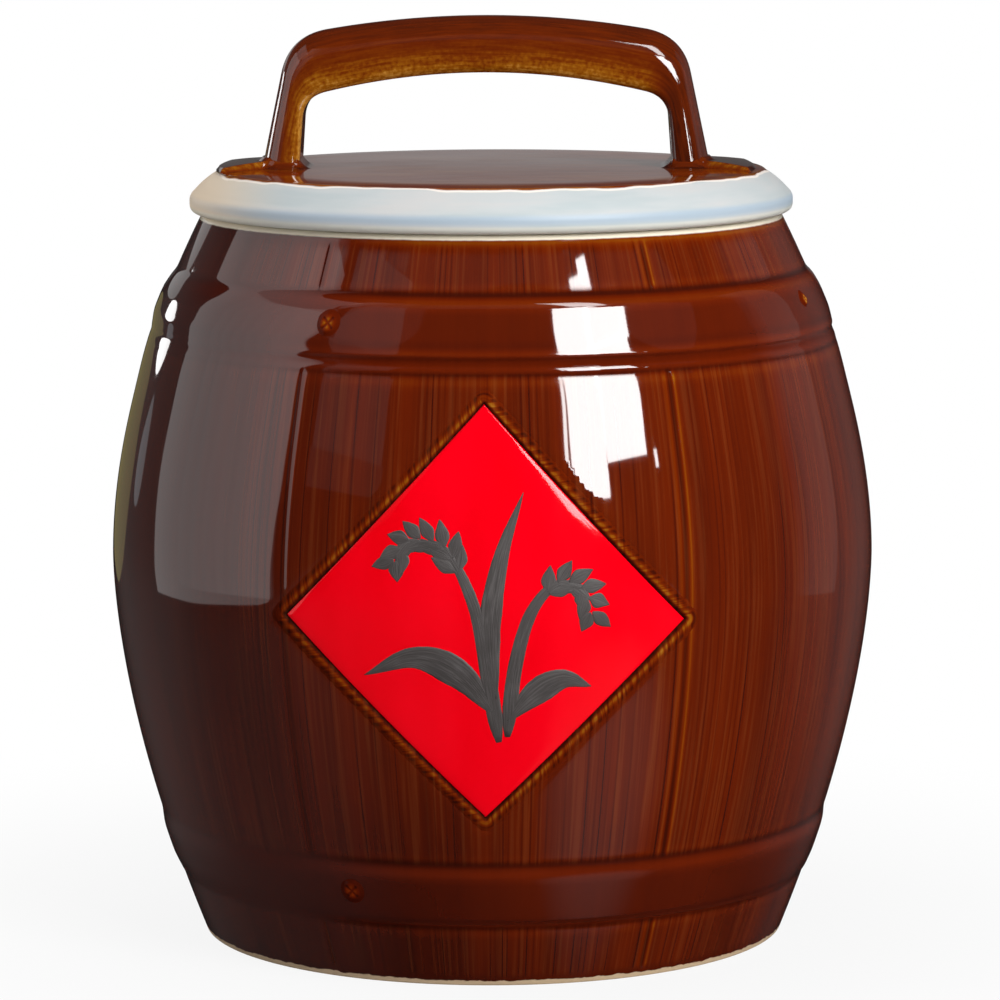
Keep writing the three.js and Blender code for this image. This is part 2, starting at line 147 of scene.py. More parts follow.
# Rice sprig
# points from the panel's middle, width, swelling share and tapering share of each brush stroke
STROKES = (
    ([(5, -46), (1, -20), (-4, 5), (-14, 24), (-26, 27)], 6.0, 0.1, 0.8),
    ([(8, -44), (11, -18), (17, 2), (27, 12), (37, 7)], 5.6, 0.1, 0.8),
    ([(4, -36), (-9, -21), (-25, -15), (-43, -22)], 13.0, 0.5, 0.7),
    ([(8, -38), (18, -28), (28, -23), (38, -26)], 11.5, 0.5, 0.7),
    ([(4, -30), (2, -5), (6, 21), (14, 44)], 10.0, 0.5, 0.8),
)
# line of each ear and its pairs of rice grains
EARS = (([(-7, 11), (-14, 24), (-26, 27), (-34, 16)], 8), ([(19, 4), (27, 12), (36, 8), (39, -4)], 6))
RICE_LEAN = (36.0, 5.0)  # degrees off the ear, and their spread
RICE_LENGTH = (10.5, 0.8, 2.5)  # at an ear's start, its spread and its loss along the ear
RICE_STROKE = (6.0, 0.5, 0.7, 20)
PAINT_CROWN = 0.22
PAINT_SINK = 0.04
PAINT_BACK = 0.3
STROKE_APART = 40.0  # in the paint's streaks, from one stroke to the next

# Lid and seal
SEAT = 274.3
LID_TOP = 290.5
LID_RADIUS = 114.0
LID_THICKNESS = 8.0
TOP_RADIUS = 102.9
TOP_EDGE = 1.4
TOP_EDGE_FALL = 0.15
NOSE_RISE = 6.6  # of the rim's widest line over the seat
NOSE_EDGE = 1.8
UNDERCUT = (3.8, 3.3)  # width and height of the rounding under the rim
BEVEL_SWELL = 0.6
LID_DOME = 0.5
LID_LIFT = 0.3  # of the top's plain part over the edge's level
LID_ROLL = 0.6  # fall of the top towards its edge
LID_ROLL_WIDTH = 14.0
TOP_RINGS = (100.5, 99.5, 98, 96.5, 95, 93.5, 92, 90, 88, 85, 80, 70, 60, 50, 40, 30, 15, 0)
# count round the lid, size and turn of the waves in the edge of the top's brown glaze
GLAZE_WAVES = ((5, 0.45, 0.4), (11, 0.35, 2.0), (23, 0.25, 4.1), (41, 0.16, 1.2), (67, 0.1, 5.0))
GLAZE_REACH = 0.3  # beyond the top's edge
GLAZE_STEP = 0.22
SPIGOT_RADIUS = 96.5
SPIGOT_WALL = 9.0
SPIGOT_DEPTH = 13.0
SPIGOT_EDGE = 1.5
DISH_FILLET = 4.0
GROOVE_TOP = SEAT - 2.5
GROOVE_END = SEAT - 10.5
GROOVE_RADIUS = SPIGOT_RADIUS - 3.0
SEAL_GAP = 0.4  # between the seal and the groove or the mouth
SEAL_EDGE = 0.6
FINS = 3
FIN_ROOT = 0.85  # half its thickness
FIN_TIP = 0.4
FIN_EDGE = 0.5

# Handle
HANDLE_BASE = LID_TOP + 0.3
HANDLE_HALF_DEPTH = 15.0
HANDLE_SHIFT = -1.8  # the handle is luted on a little off centre
# foot, lean, rise, arch and knee of the strap's outer and inner line
OUTER_LINE = (84.6, 10.2, 57.0, 7.9, 14.0)
INNER_LINE = (70.1, 1.9, 36.0, 9.3, 8.0)
ARCH_STEPS = (14, 16, 26)  # of a leg, a knee and half the grip
STRAP_EDGE = 3.5
STRAP_SHOULDER = 0.45  # share of its thickness
STRAP_NARROWING = (0.1, 80.0)  # share of its depth, and how far out it is full
LEG_SPREAD = (0.18, 38.0)  # share of its depth, and the height below which it grows
DARK_LEG = (58, 72)  # sideways places over which the glaze of the right leg is made darker
PAD_START = 60.0  # of a foot of the handle, from the lid's middle
PAD_HALF_WIDTH = 34.0
PAD_MARGIN = 0.9  # to the top's edge
PAD_SINK = 0.08
PAD_BACK = 0.8
LEG_CROWN = 8.0
LEG_FILLET = (3.6, 5.5)  # height and width
TONGUE_START = 80.0
TONGUE_WIDTH = (14.0, 15.0)  # half of it where it starts, and how much that grows
TONGUE_HEIGHT = (3.2, 1.9)  # where it starts, and how much that falls

rng = np.random.default_rng(7)


def ease(low, high, value):
    """0 below low, 1 above high, smooth between them."""
    share = np.clip((value - low) / (high - low), 0, 1)
    return share * share * (3 - 2 * share)


def plateau(value, start, full, last, end):
    """1 from full to last, 0 outside start and end, smooth between them."""
    return ease(start, full, value) * (1 - ease(last, end, value))


def hump(value, middle, width):
    return np.exp(-(((value - middle) / width) ** 2))


def humps(value, rows):
    """Sum of humps, each with its middle, its width and its amount."""
    return sum(amount * hump(value, middle, width) for middle, width, amount in rows)


def bend(start, corner, end, steps):
    """Points of a rounded corner, without its start."""
    t = np.linspace(0, 1, steps + 1)[1:, None]
    start, corner, end = (np.array(p, float) for p in (start, corner, end))
    return list((1 - t) ** 2 * start + 2 * t * (1 - t) * corner + t**2 * end)


def run_along(line):
    """Length along a line from its start to each of its points."""
    steps = np.linalg.norm(np.diff(line, axis=0), axis=1)
    return np.concatenate([[0], np.cumsum(steps)])


# meshes


def grid_faces(rows, columns, closed):
    """Quads over a grid of points; closed joins its last column to its first."""
    row = np.arange(rows - 1)[:, None]
    column = np.arange(columns if closed else columns - 1)[None, :]
    a = row * columns + column
    b = row * columns + (column + 1) % columns
    return np.stack([a, b, b + columns, a + columns], axis=-1).reshape(-1, 4)


def add_object(name, data):
    made = bpy.data.objects.new(name, data)
    bpy.context.scene.collection.objects.link(made)
    return made


def make_mesh(name, points, faces):
    """Mesh in metres from points in millimetres."""
    mesh = bpy.data.meshes.new(name)
    mesh.from_pydata((np.asarray(points).reshape(-1, 3) * MM).tolist(), [], np.asarray(faces).tolist())
    return mesh


def joined(shells):
    """Points and faces of several shells in one."""
    counts = np.cumsum([0] + [len(points) for points, _ in shells])
    faces = [quads + count for (_, quads), count in zip(shells, counts)]
    return np.concatenate([points for points, _ in shells]), np.concatenate(faces)


def make_piece(name, points, faces, body, materials, values=None, slots=None):
    """One mesh piece that rides on a body; points that lie on each other are joined."""
    mesh = make_mesh(name, points, faces)
    for key, value in (values or {}).items():
        attribute = mesh.attributes.new(key, "FLOAT", "POINT")
        attribute.data.foreach_set("value", np.asarray(value, np.float32).ravel())
    for material in materials:
        mesh.materials.append(material)
    if slots is not None:
        mesh.polygons.foreach_set("material_index", np.asarray(slots, np.int32))
    work = bmesh.new()
    work.from_mesh(mesh)
    bmesh.ops.remove_doubles(work, verts=work.verts, dist=JOINED_WITHIN)
    work.to_mesh(mesh)
    work.free()
    mesh.shade_smooth()
    piece = add_object(name, mesh)
    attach(piece, body)
    return piece


def around(radius, angle, height):
    """Points at a radius, an angle in degrees from the front, and a height."""
    turn = np.radians(angle)
    radius, turn, height = np.broadcast_arrays(radius, turn, height)
    return np.stack([radius * np.sin(turn), -radius * np.cos(turn), height], axis=-1)


def ring_rows(profile, angles):
    """Points of a profile of (radius, height) at each angle."""
    profile = np.array(profile, float)
    return around(profile[:, :1], angles, profile[:, 1:])


def turned(profile, columns):
    """Points and faces of a profile turned round the axis."""
    points = ring_rows(profile, np.linspace(0, 360, columns, endpoint=False))
    return points, grid_faces(len(profile), columns, True)


def slab(top, bottom):
    """Points and faces of a closed shell between two grids of the same size."""
    rows, columns = top.shape[:2]
    count = rows * columns
    faces = grid_faces(rows, columns, False)
    index = np.arange(count).reshape(rows, columns)
    border = np.concatenate([index[0, :-1], index[:-1, -1], index[-1, :0:-1], index[:0:-1, 0]])
    after = np.roll(border, -1)
    wall = np.stack([after, border, border + count, after + count], axis=-1)
    points = np.concatenate([top.reshape(-1, 3), bottom.reshape(-1, 3)])
    return points, np.concatenate([faces, faces[:, ::-1] + count, wall])


# the jar's surface


def barrel_radius(height):
    height = np.asarray(height, float)
    below = height < BELLY_HEIGHT
    run = np.where(below, BELLY_HEIGHT, JAR_HEIGHT - BELLY_HEIGHT)
    end = np.where(below, FOOT_RADIUS, LIP_RADIUS)
    power = np.where(below, LOWER_FULLNESS, UPPER_FULLNESS)
    fall = (np.abs(height - BELLY_HEIGHT) / run) ** power
    shoulder = SHOULDER_RISE * hump(height, SHOULDER_HEIGHT, SHOULDER_SPREAD)
    return BELLY_RADIUS - (BELLY_RADIUS - end) * fall + shoulder


def hooped_radius(height, strength=1.0):
    """Barrel with its hoops, bead and grooves, with softer edges where the strength is less."""
    height = np.asarray(height, float)
    radius = barrel_radius(height) + strength * humps(height, RIDGES)
    for bottom, top, low, high, lower_run, upper_run in HOOPS:
        crisp = plateau(height, bottom, bottom + lower_run, top - upper_run, top)
        soft = plateau(height, bottom - SOFT_SPREAD, bottom + SOFT_RUN, top - SOFT_RUN, top + SOFT_SPREAD)
        relief = np.interp(height, (bottom, top), (low, high))
        radius = radius + relief * (soft + strength * (crisp - soft))
    return radius


def stave_share(height):
    """1 on the staves, 0 on the hoops, the bead and the plain rims."""
    return sum(
        plateau(height, low - SEAM_FADE, low + SEAM_FADE, high - SEAM_FADE, high + SEAM_FADE)
        for low, high in SEAM_BANDS
    )


def seam_distance(angle):
    """Millimetres along the belly to the nearest seam, with its sign."""
    turn = (angle + STAVE_TURN) % STAVE_TURN - STAVE_TURN / 2
    return np.radians(turn) * BELLY_RADIUS


def panel_drop(x):
    """How far below the panel's middle height its widest line lies at a sideways place."""
    return np.where(x < 0, *PANEL_DROP) * np.abs(x) / PANEL_HALF_WIDTH


def panel_offset(x, height):
    """Millimetres outside the panel's edge, square to it; negative inside."""
    rise = np.abs(height - PANEL_HEIGHT + panel_drop(x)) / PANEL_HALF_HEIGHT
    return (np.abs(x) / PANEL_HALF_WIDTH + rise - 1) * PANEL_REACH


def from_front(angle):
    """Degrees from the front, between -180 and 180."""
    return (np.asarray(angle, float) + 180) % 360 - 180


def thin_strength(angle):
    """How plainly thin glaze shows on the jar's lines: it lies thick on the left of the front."""
    return 1 - 0.9 * plateau(from_front(angle), *THICK_LEFT)


def line_strength(angle):
    """How crisp the jar's lines are: the glaze rounds them on the left, and less on the right."""
    return thin_strength(angle) - 0.6 * plateau(from_front(angle), *THICK_RIGHT)


def painted_shade(points):
    """Painted shade, as a darkening of the glaze: on the left of the front, reaching further right lower
    down, and a little at mid height on the right.
    """
    x, y, height = np.moveaxis(points, -1, 0)
    turn = from_front(np.degrees(np.arctan2(x, -y)))
    place = x + 0.5 * np.minimum(height - BELLY_HEIGHT, 0)
    # share of the painted shade: full on the left of the front, less at the very bottom
    thick = (1 - ease(-125, -35, place)) * (0.6 + 0.4 * ease(50, 150, height))
    left = 0.26 * thick * (0.3 + 0.7 * ease(-115, -80, turn)) * (1 - ease(60, 100, turn))
    right = 0.05 * ease(60, 95, x) * plateau(height, 80, 130, 190, 230)
    return -left - right


def wall_radius(angle, height):
    """The jar's outside with its seams and the panel's pocket."""
    strength = line_strength(angle)
    seam = SEAM_DEPTH * stave_share(height) * hump(seam_distance(angle), 0, SEAM_WIDTH)
    radius = hooped_radius(height, strength) - strength * seam
    x = radius * np.sin(np.radians(angle))
    front = np.cos(np.radians(angle)) > 0
    pocket = POCKET_DEPTH * (1 - ease(*POCKET_WALL, panel_offset(x, height)))
    return radius - np.where(front, pocket, 0)


def wall_thinness(angle, height):
    """How thin the glaze runs: 1 on sharp ridges, 0 on plain wall, -1 in grooves."""
    seams = stave_share(height) * humps(seam_distance(angle), SEAM_LINES)
    return (seams + humps(height, THIN_LINES)) * thin_strength(angle)


def wall_dullness(angle, height):
    """1 where the glaze lies dull: in the seams, on the bead and under the hoops' edges."""
    dull = stave_share(height) * hump(seam_distance(angle), 0, SEAM_DULL_WIDTH)
    for middle, width, amount in DULL_LINES:
        dull = np.maximum(dull, amount * hump(height, middle, width))
    return dull * line_strength(angle)


def column_angles():
    """Angles of the barrel's columns, close at the seams and across the front stave."""
    near = np.degrees(np.array([0, 0.4, 0.8, 1.2, 1.7, 2.2, 2.8, 3.6, 5.0, 7.0]) / BELLY_RADIUS)
    angles = []
    for stave in range(STAVES):
        left, right = (stave - 0.5) * STAVE_TURN, (stave + 0.5) * STAVE_TURN
        columns = FRONT_COLUMNS if stave == 0 else STAVE_COLUMNS
        angles += list(left + near[:-1])
        angles += list(np.linspace(left + near[-1], right - near[-1], columns))
        angles += list((right - near[1:-1])[::-1])
    return np.array(angles)


def row_heights(low, high):
    """Heights of the outside's rows, close together at the hoops' edges."""
    edges = np.array([3.0, 23.7, 48.8, 227.0, 232.0, 254.9, 272.0])
    closest, farthest, last = 0.45, 2.6, 0.7
    rows = [low]
    while rows[-1] < high - last:
        gap = np.min(np.abs(edges - rows[-1]))
        rows.append(rows[-1] + float(np.clip(gap / 4, closest, farthest)))
    return np.array(rows[:-1] + [high])


def make_jar(glaze, lining, clay):
    """Barrel, in rows from the middle of its underside, over the lip, to the middle of its floor."""
    angles = column_angles()
    heights = row_heights(FOOT_EDGE, JAR_HEIGHT - LIP_EDGE)
    recess = FOOT_RING_INSIDE - FOOT_RECESS
    foot = [(0, FOOT_RECESS), (recess / 2, FOOT_RECESS), (recess - SMALL_EDGE, FOOT_RECESS)]
    foot += bend(foot[-1], (recess, FOOT_RECESS), (FOOT_RING_INSIDE - SMALL_EDGE, SMALL_EDGE), 5)
    foot += bend(foot[-1], (FOOT_RING_INSIDE, 0), (FOOT_RING_INSIDE + SMALL_EDGE, 0), 3)
    foot += [(FOOT_RADIUS - FOOT_EDGE, 0)]
    foot += bend(foot[-1], (FOOT_RADIUS, 0), (barrel_radius(FOOT_EDGE), FOOT_EDGE), 6)[:-1]
    lip = [(float(hooped_radius(heights[-1])), heights[-1])]
    lip += bend(lip[-1], (LIP_RADIUS, JAR_HEIGHT), (LIP_RADIUS - LIP_EDGE, JAR_HEIGHT), 6)
    lip += [(MOUTH_RADIUS + MOUTH_EDGE, JAR_HEIGHT)]
    inside = bend(lip[-1], (MOUTH_RADIUS, JAR_HEIGHT), (MOUTH_RADIUS, JAR_HEIGHT - MOUTH_EDGE), 4)
    land = JAR_HEIGHT - MOUTH_LAND
    taper = land - MOUTH_TAPER
    inside += [(MOUTH_RADIUS, land + NECK_ROUNDING)]
    neck = (float(barrel_radius(taper)) - WALL, taper)
    inside += bend(inside[-1], (MOUTH_RADIUS, land), neck, 6)
    for height in np.linspace(taper, FLOOR_LEVEL + FLOOR_FILLET, 40)[1:]:
        inside.append((float(barrel_radius(height)) - WALL, height))
    corner = float(barrel_radius(FLOOR_LEVEL)) - WALL
    inside += bend(inside[-1], (corner, FLOOR_LEVEL), (corner - FLOOR_FILLET, FLOOR_LEVEL), 6)
    inside += [(corner / 2, FLOOR_LEVEL), (0, FLOOR_LEVEL)]

    levels = heights[:, None]
    wall = around(wall_radius(angles, levels), angles, levels)
    rows = np.concatenate([ring_rows(foot, angles), wall, ring_rows(lip[1:] + inside, angles)])
    start, end = len(foot), len(foot) + len(heights)
    thin, stave, dull = np.zeros((3, len(rows), len(angles)))
    thin[start:end] = wall_thinness(angles, levels)
    thin[end:] = 1.0
    stave[start:end] = stave_share(levels)
    dull[start:end] = wall_dullness(angles, levels)
    row = np.arange(len(rows) - 1)
    slots = np.select([row < start - 2, row < end + len(lip) - 2], [2, 0], 1)
    jar = make_piece(
        "jar_barrel", rows, grid_faces(len(rows), len(angles), True), "jar",
        [glaze, lining, clay], {"thin": thin, "stave": stave, "dull": dull, "shade": painted_shade(rows)},
        np.repeat(slots, len(angles)),
    )
    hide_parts("jar_body")


def make_nails(glaze):
    """Moulded nail heads: a low dome with a cross slot and a ring round it."""
    skirt = np.array(NAIL_SKIRT)
    shares = np.concatenate([np.linspace(0, 1, 18), skirt[:, 0]])
    turns = np.radians(np.arange(0, 360, 6))
    reach = shares[:, None] * NAIL_RADIUS * np.ones_like(turns)
    u, v = reach * np.cos(turns), reach * np.sin(turns)
    slot = np.maximum(hump(u + v, 0, SLOT_WIDTH), hump(u - v, 0, SLOT_WIDTH)) * (1 - ease(2.5, 3.2, reach))
    rise = NAIL_RISE * (1 - ease(0.55, 1.1, reach / NAIL_RADIUS)) - SLOT_DEPTH * slot
    rise[-len(skirt) :] = skirt[:, 1:]
    thin = 1.15 * (1 - ease(1.0, 3.7, reach)) - 0.8 * slot
    quads = grid_faces(len(shares) + 1, len(turns), True)[:, ::-1]
    shells, values = [], []
    for height, turn, size in NAILS:
        angle = turn + np.degrees(size * u / hooped_radius(height))
        radius = hooped_radius(height + size * v, line_strength(angle)) + rise
        outer = around(radius, angle, height + size * v)
        back = np.broadcast_to(around(hooped_radius(height) - NAIL_ROOT, turn, height), outer[:1].shape)
        shells.append((np.concatenate([outer, back]).reshape(-1, 3), quads))
        values.append(np.concatenate([thin, thin[:1]]) / size)
    points, faces = joined(shells)
    values = {"thin": values, "dull": np.full_like(values, 0.7), "shade": painted_shade(points)}
    make_piece("nail_heads", points, faces, "jar", [glaze], values)


def on_barrel(x, height, rise):
    """Points over the barrel at a sideways place and a height, raised off its surface."""
    radius = barrel_radius(height)
    angle = np.degrees(np.arcsin(np.clip(x / radius, -1, 1)))
    return around(radius + rise, angle, height)


def make_frame(glaze):
    """Raised moulding round the pocket, with rounded corners."""
    # offset from the panel's edge, rise off the barrel, thinness of the glaze, dullness
    section = np.array([
        (-0.6, -1.8, -0.8, 1.0), (0.1, -1.3, -0.8, 1.0), (0.35, -0.8, -0.7, 1.0), (0.6, -0.4, -0.4, 1.0),
        (0.85, -0.06, 0.1, 1.0), (1.15, 0.12, 0.6, 1.0), (1.55, 0.22, 0.85, 1.0), (2.0, 0.26, 0.8, 1.0),
        (2.5, 0.22, 0.6, 1.0), (3.0, 0.14, 0.25, 1.0), (3.6, 0.06, 0.05, 1.0), (4.4, -0.01, 0.0, 0.9),
        (5.4, -0.4, 0.0, 0.5),
    ])
    left, right = (np.array([side * PANEL_HALF_WIDTH, -drop]) for side, drop in zip((-1, 1), PANEL_DROP))
    corners = [np.array([0, PANEL_HALF_HEIGHT]), left, np.array([0, -PANEL_HALF_HEIGHT]), right]
    path = []
    for side in range(4):
        start, end = corners[side], corners[(side + 1) % 4]
        normal = math.degrees(math.atan2(start[0] - end[0], end[1] - start[1]))
        for share in np.linspace(0, 1, 90):
            path.append((*(start + (end - start) * share), normal, (side + share) * SLANT))
        following = corners[(side + 2) % 4] - end
        turn = from_front(math.degrees(math.atan2(-following[0], following[1])) - normal)
        for share in np.linspace(0, 1, 12)[1:-1]:
            path.append((*end, normal + turn * share, (side + 1) * SLANT))
    path = np.array(path)
    normal = np.radians(path[:, 2])
    x = path[None, :, 0] + section[:, :1] * np.cos(normal)
    height = PANEL_HEIGHT + path[None, :, 1] + section[:, :1] * np.sin(normal)
    outer = on_barrel(x, height, section[:, 1:2])
    under = on_barrel(x[-1:], height[-1:], -FRAME_BACK)
    back = on_barrel(x[:1], height[:1], -FRAME_BACK)
    rows = np.concatenate([outer, under, back, outer[:1]])
    section = np.concatenate([section, section[-1:], section[:1], section[:1]])
    thin = np.repeat(section[:, 2:3], len(path), axis=1)
    dull = np.repeat(section[:, 3:], len(path), axis=1)
    along = path[None, :, 3] + 0.7 * section[:, :1]
    values = {"thin": thin, "stave": np.ones_like(thin), "dull": dull, "rope": thin > 0, "along": along}
    values["shade"] = painted_shade(rows)
    faces = grid_faces(len(rows), len(path), True)
    make_piece("panel_frame", rows, faces, "jar", [glaze], values)


def make_panel(enamel):
    """Enamel diamond that follows the barrel, on a grid along its edges."""
    near = np.array([0, 0.12, 0.3, 0.55, 0.85, 1.2, 1.6])
    half = SLANT / 2
    inner = np.linspace(near[-1], SLANT - near[-1], 52)
    steps = (np.concatenate([near[:-1], inner, (SLANT - near[:-1])[::-1]]) - half) / half
    a, b = np.meshgrid(steps, steps, indexing="ij")
    x = PANEL_HALF_WIDTH * (a - b) / 2
    height = PANEL_HEIGHT + PANEL_HALF_HEIGHT * (a + b) / 2 - panel_drop(x)
    inset = np.clip(-panel_offset(x, height), 0, None)
    edge = np.clip(1 - inset / PANEL_EDGE, 0, 1)
    fall = EDGE_FALL * edge + RIM_FALL * np.clip(5 * edge - 4, 0, 1) ** 2
    top = on_barrel(x, height, -PANEL_SINK - fall)
    points, faces = slab(top, on_barrel(x, height, -PANEL_BACK))
    panel = make_piece("red_enamel_panel", points, faces[:, ::-1], "jar", [enamel])
    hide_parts("red_panel")


# brush-painted rice sprig


def spline(points, count):
    """A smooth line through points, by Catmull-Rom."""
    points = np.array(points, float)
    padded = np.concatenate([2 * points[:1] - points[1:2], points, 2 * points[-1:] - points[-2:-1]])
    places = np.linspace(0, len(points) - 1, count)
    index = np.minimum(places.astype(int), len(points) - 2)
    t = (places - index)[:, None]
    p0, p1, p2, p3 = (padded[index + k] for k in range(4))
    slope, curve, twist = p2 - p0, 2 * p0 - 5 * p1 + 4 * p2 - p3, 3 * p1 - p0 - 3 * p2 + p3
    return p1 + 0.5 * (slope * t + curve * t**2 + twist * t**3)


def stroke(points, width, swell, taper, count=40):
    """Grid of places under one brush stroke, with how far across and along it each one lies."""
    line = spline(points, count)
    share = np.linspace(0, 1, count)
    wobble = np.convolve(rng.normal(0, 1, count + 8), np.ones(9) / 9, "valid") * 0.12
    width = width * (1 + wobble) * np.sqrt(plateau(share, -0.03, swell, 1 - taper, 1.01))
    tangent = np.gradient(line, axis=0)
    tangent /= np.linalg.norm(tangent, axis=1)[:, None]
    normal = np.stack([-tangent[:, 1], tangent[:, 0]], axis=1)
    across = np.broadcast_to(np.linspace(-1, 1, 11), (count, 11))
    place = line[:, None, :] + normal[:, None, :] * (width[:, None] / 2 * across)[:, :, None]
    return place, across, np.broadcast_to(run_along(line)[:, None], across.shape)


def make_sprig(paint):
    """Rice sprig: two stems, three leaves and the grains on both sides of two ears."""
    strokes = [stroke(*row) for row in STROKES]
    lean, lean_spread = RICE_LEAN
    length, length_spread, length_loss = RICE_LENGTH
    for points, count in EARS:
        line = spline(points, count + 2)
        heading = np.gradient(line, axis=0)
        for grain in range(1, count + 1):
            direction = math.atan2(heading[grain, 1], heading[grain, 0])
            for side in (-1, 1):
                turn = direction + side * math.radians(lean + lean_spread * rng.standard_normal())
                size = length + rng.uniform(-length_spread, length_spread) - length_loss * grain / count
                step = np.array([math.cos(turn), math.sin(turn)])
                start = line[grain] + 0.6 * step
                places = [start, start + size / 2 * step, start + size * step]
                strokes.append(stroke(places, *RICE_STROKE))
    shells, across, along = [], [], []
    for place, side, run in strokes:
        crown = PAINT_CROWN * np.sqrt(np.clip(1 - side**2, 0, 1))
        height = PANEL_HEIGHT + place[..., 1]
        top = on_barrel(place[..., 0], height, crown - PANEL_SINK - PAINT_SINK)
        low = on_barrel(place[..., 0], height, -PANEL_SINK - PAINT_BACK)
        shells.append(slab(top, low))
        across += 2 * [side.ravel()]
        along += 2 * [run.ravel() + STROKE_APART * len(shells)]
    points, faces = joined(shells)
    values = {"across": np.concatenate(across), "along": np.concatenate(along)}
    make_piece("painted_sprig", points, faces[:, ::-1], "jar", [paint], values)


# lid, seal and handle


def make_lid(glaze):
    """Disc, turned from the middle of its dish, round the spigot and the rim, to the top's middle."""
    ceiling, dish, end = LID_TOP - LID_THICKNESS, SPIGOT_RADIUS - SPIGOT_WALL, SEAT - SPIGOT_DEPTH
    nose, edge = SEAT + NOSE_RISE, TOP_RADIUS - TOP_EDGE
    slope = (LID_TOP - nose) / (LID_RADIUS - TOP_RADIUS)
    bevel, top = LID_RADIUS - NOSE_EDGE, TOP_RADIUS + TOP_EDGE
    profile = [(0, ceiling), (dish / 2, ceiling), (dish - DISH_FILLET, ceiling)]
    profile += bend(profile[-1], (dish, ceiling), (dish, ceiling - DISH_FILLET), 6)
    profile += [(dish, end + SMALL_EDGE)]
    profile += bend(profile[-1], (dish, end), (dish + SMALL_EDGE, end), 3)
    profile += [(SPIGOT_RADIUS - SPIGOT_EDGE, end)]
    profile += bend(profile[-1], (SPIGOT_RADIUS, end), (SPIGOT_RADIUS, end + SPIGOT_EDGE), 4)
    profile += [(SPIGOT_RADIUS, GROOVE_END), (GROOVE_RADIUS, GROOVE_END)]
    profile += [(GROOVE_RADIUS, GROOVE_TOP), (SPIGOT_RADIUS, GROOVE_TOP)]
    profile += [(SPIGOT_RADIUS, SEAT), (LID_RADIUS - UNDERCUT[0], SEAT)]
    profile += bend(profile[-1], (LID_RADIUS, SEAT), (LID_RADIUS, SEAT + UNDERCUT[1]), 8)
    profile += [(LID_RADIUS, nose - NOSE_EDGE)]
    profile += bend(profile[-1], (LID_RADIUS, nose), (bevel, nose + NOSE_EDGE * slope), 8)
    for share in np.linspace(0, 1, 12)[1:-1]:
        radius = bevel + share * (top - bevel)
        swell = BEVEL_SWELL * math.sin(math.pi * share)
        profile.append((radius, nose + (LID_RADIUS - radius) * slope + swell))
    profile.append((top, LID_TOP - TOP_EDGE * slope))
    profile += bend(profile[-1], (TOP_RADIUS, LID_TOP - TOP_EDGE_FALL), (edge, lid_surface(edge)), 6)
    profile += [(radius, lid_surface(radius)) for radius in TOP_RINGS]
    points, faces = turned(profile, 288)
    x, y, height = np.moveaxis(points, -1, 0)
    past = np.hypot(x, y) - glaze_edge(np.arctan2(x, -y))
    points[..., 2] -= GLAZE_STEP * ease(LID_TOP - 7, LID_TOP - 3, height) * ease(-0.5, 0.6, past)
    lid = make_piece("lid_disc", points, faces, "cover", [glaze], {"past_edge": past})
    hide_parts("lid")


def lid_surface(radius):
    """Height of the lid's top, a shallow dome that rolls off near its edge."""
    edge = TOP_RADIUS - TOP_EDGE
    dome = LID_DOME * (1 - ease(0, edge, radius))
    roll = LID_ROLL * np.clip(1 - (edge - radius) / LID_ROLL_WIDTH, 0, 1) ** 2
    return LID_TOP + LID_LIFT + dome - roll


def glaze_edge(angle):
    """Radius at which the brown glaze of the lid's top ends, wavering round the lid."""
    wave = sum(size * np.sin(count * angle + turn) for count, size, turn in GLAZE_WAVES)
    return TOP_RADIUS + GLAZE_REACH + wave


def make_seal(silicone):
    """Ring in the spigot's groove, with fins that reach towards the mouth."""
    inside, tip = GROOVE_RADIUS + SEAL_GAP, MOUTH_RADIUS - SEAL_GAP
    bottom, top = GROOVE_END + SEAL_GAP, GROOVE_TOP - SEAL_GAP
    pitch = (top - bottom) / FINS
    profile = [(inside, bottom), (inside + SEAL_EDGE, bottom)]
    for fin in range(FINS):
        middle = bottom + pitch * (fin + 0.5)
        profile += [(SPIGOT_RADIUS, middle - FIN_ROOT), (tip - FIN_EDGE, middle - FIN_TIP)]
        profile += bend(profile[-1], (tip, middle - FIN_TIP), (tip, middle), 3)
        profile += bend(profile[-1], (tip, middle + FIN_TIP), (tip - FIN_EDGE, middle + FIN_TIP), 3)
        profile += [(SPIGOT_RADIUS, middle + FIN_ROOT)]
    profile += [(inside + SEAL_EDGE, top), (inside, top), (inside, bottom)]
    points, faces = turned(profile, 192)
    seal = make_piece("silicone_seal", points, faces, "seal", [silicone])
    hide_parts("seal_ring")


def half_arch(foot, lean, rise, arch, knee):
    """Half an arch from its foot up to its crown, as (across, up) points."""
    leg_steps, knee_steps, grip_steps = ARCH_STEPS
    start, corner = np.array([foot, 0.0]), np.array([foot - lean, rise - arch])
    knee_start = corner + (start - corner) / np.linalg.norm(start - corner) * knee
    along = corner[0] - knee
    knee_end = np.array([along, rise - arch * (along / corner[0]) ** 2])
    line = list(np.linspace(start, knee_start, leg_steps + 1))
    line += bend(knee_start, corner, knee_end, knee_steps)
    line += bend(knee_end, (along / 2, rise), (0, rise), grip_steps)
    return np.array(line)


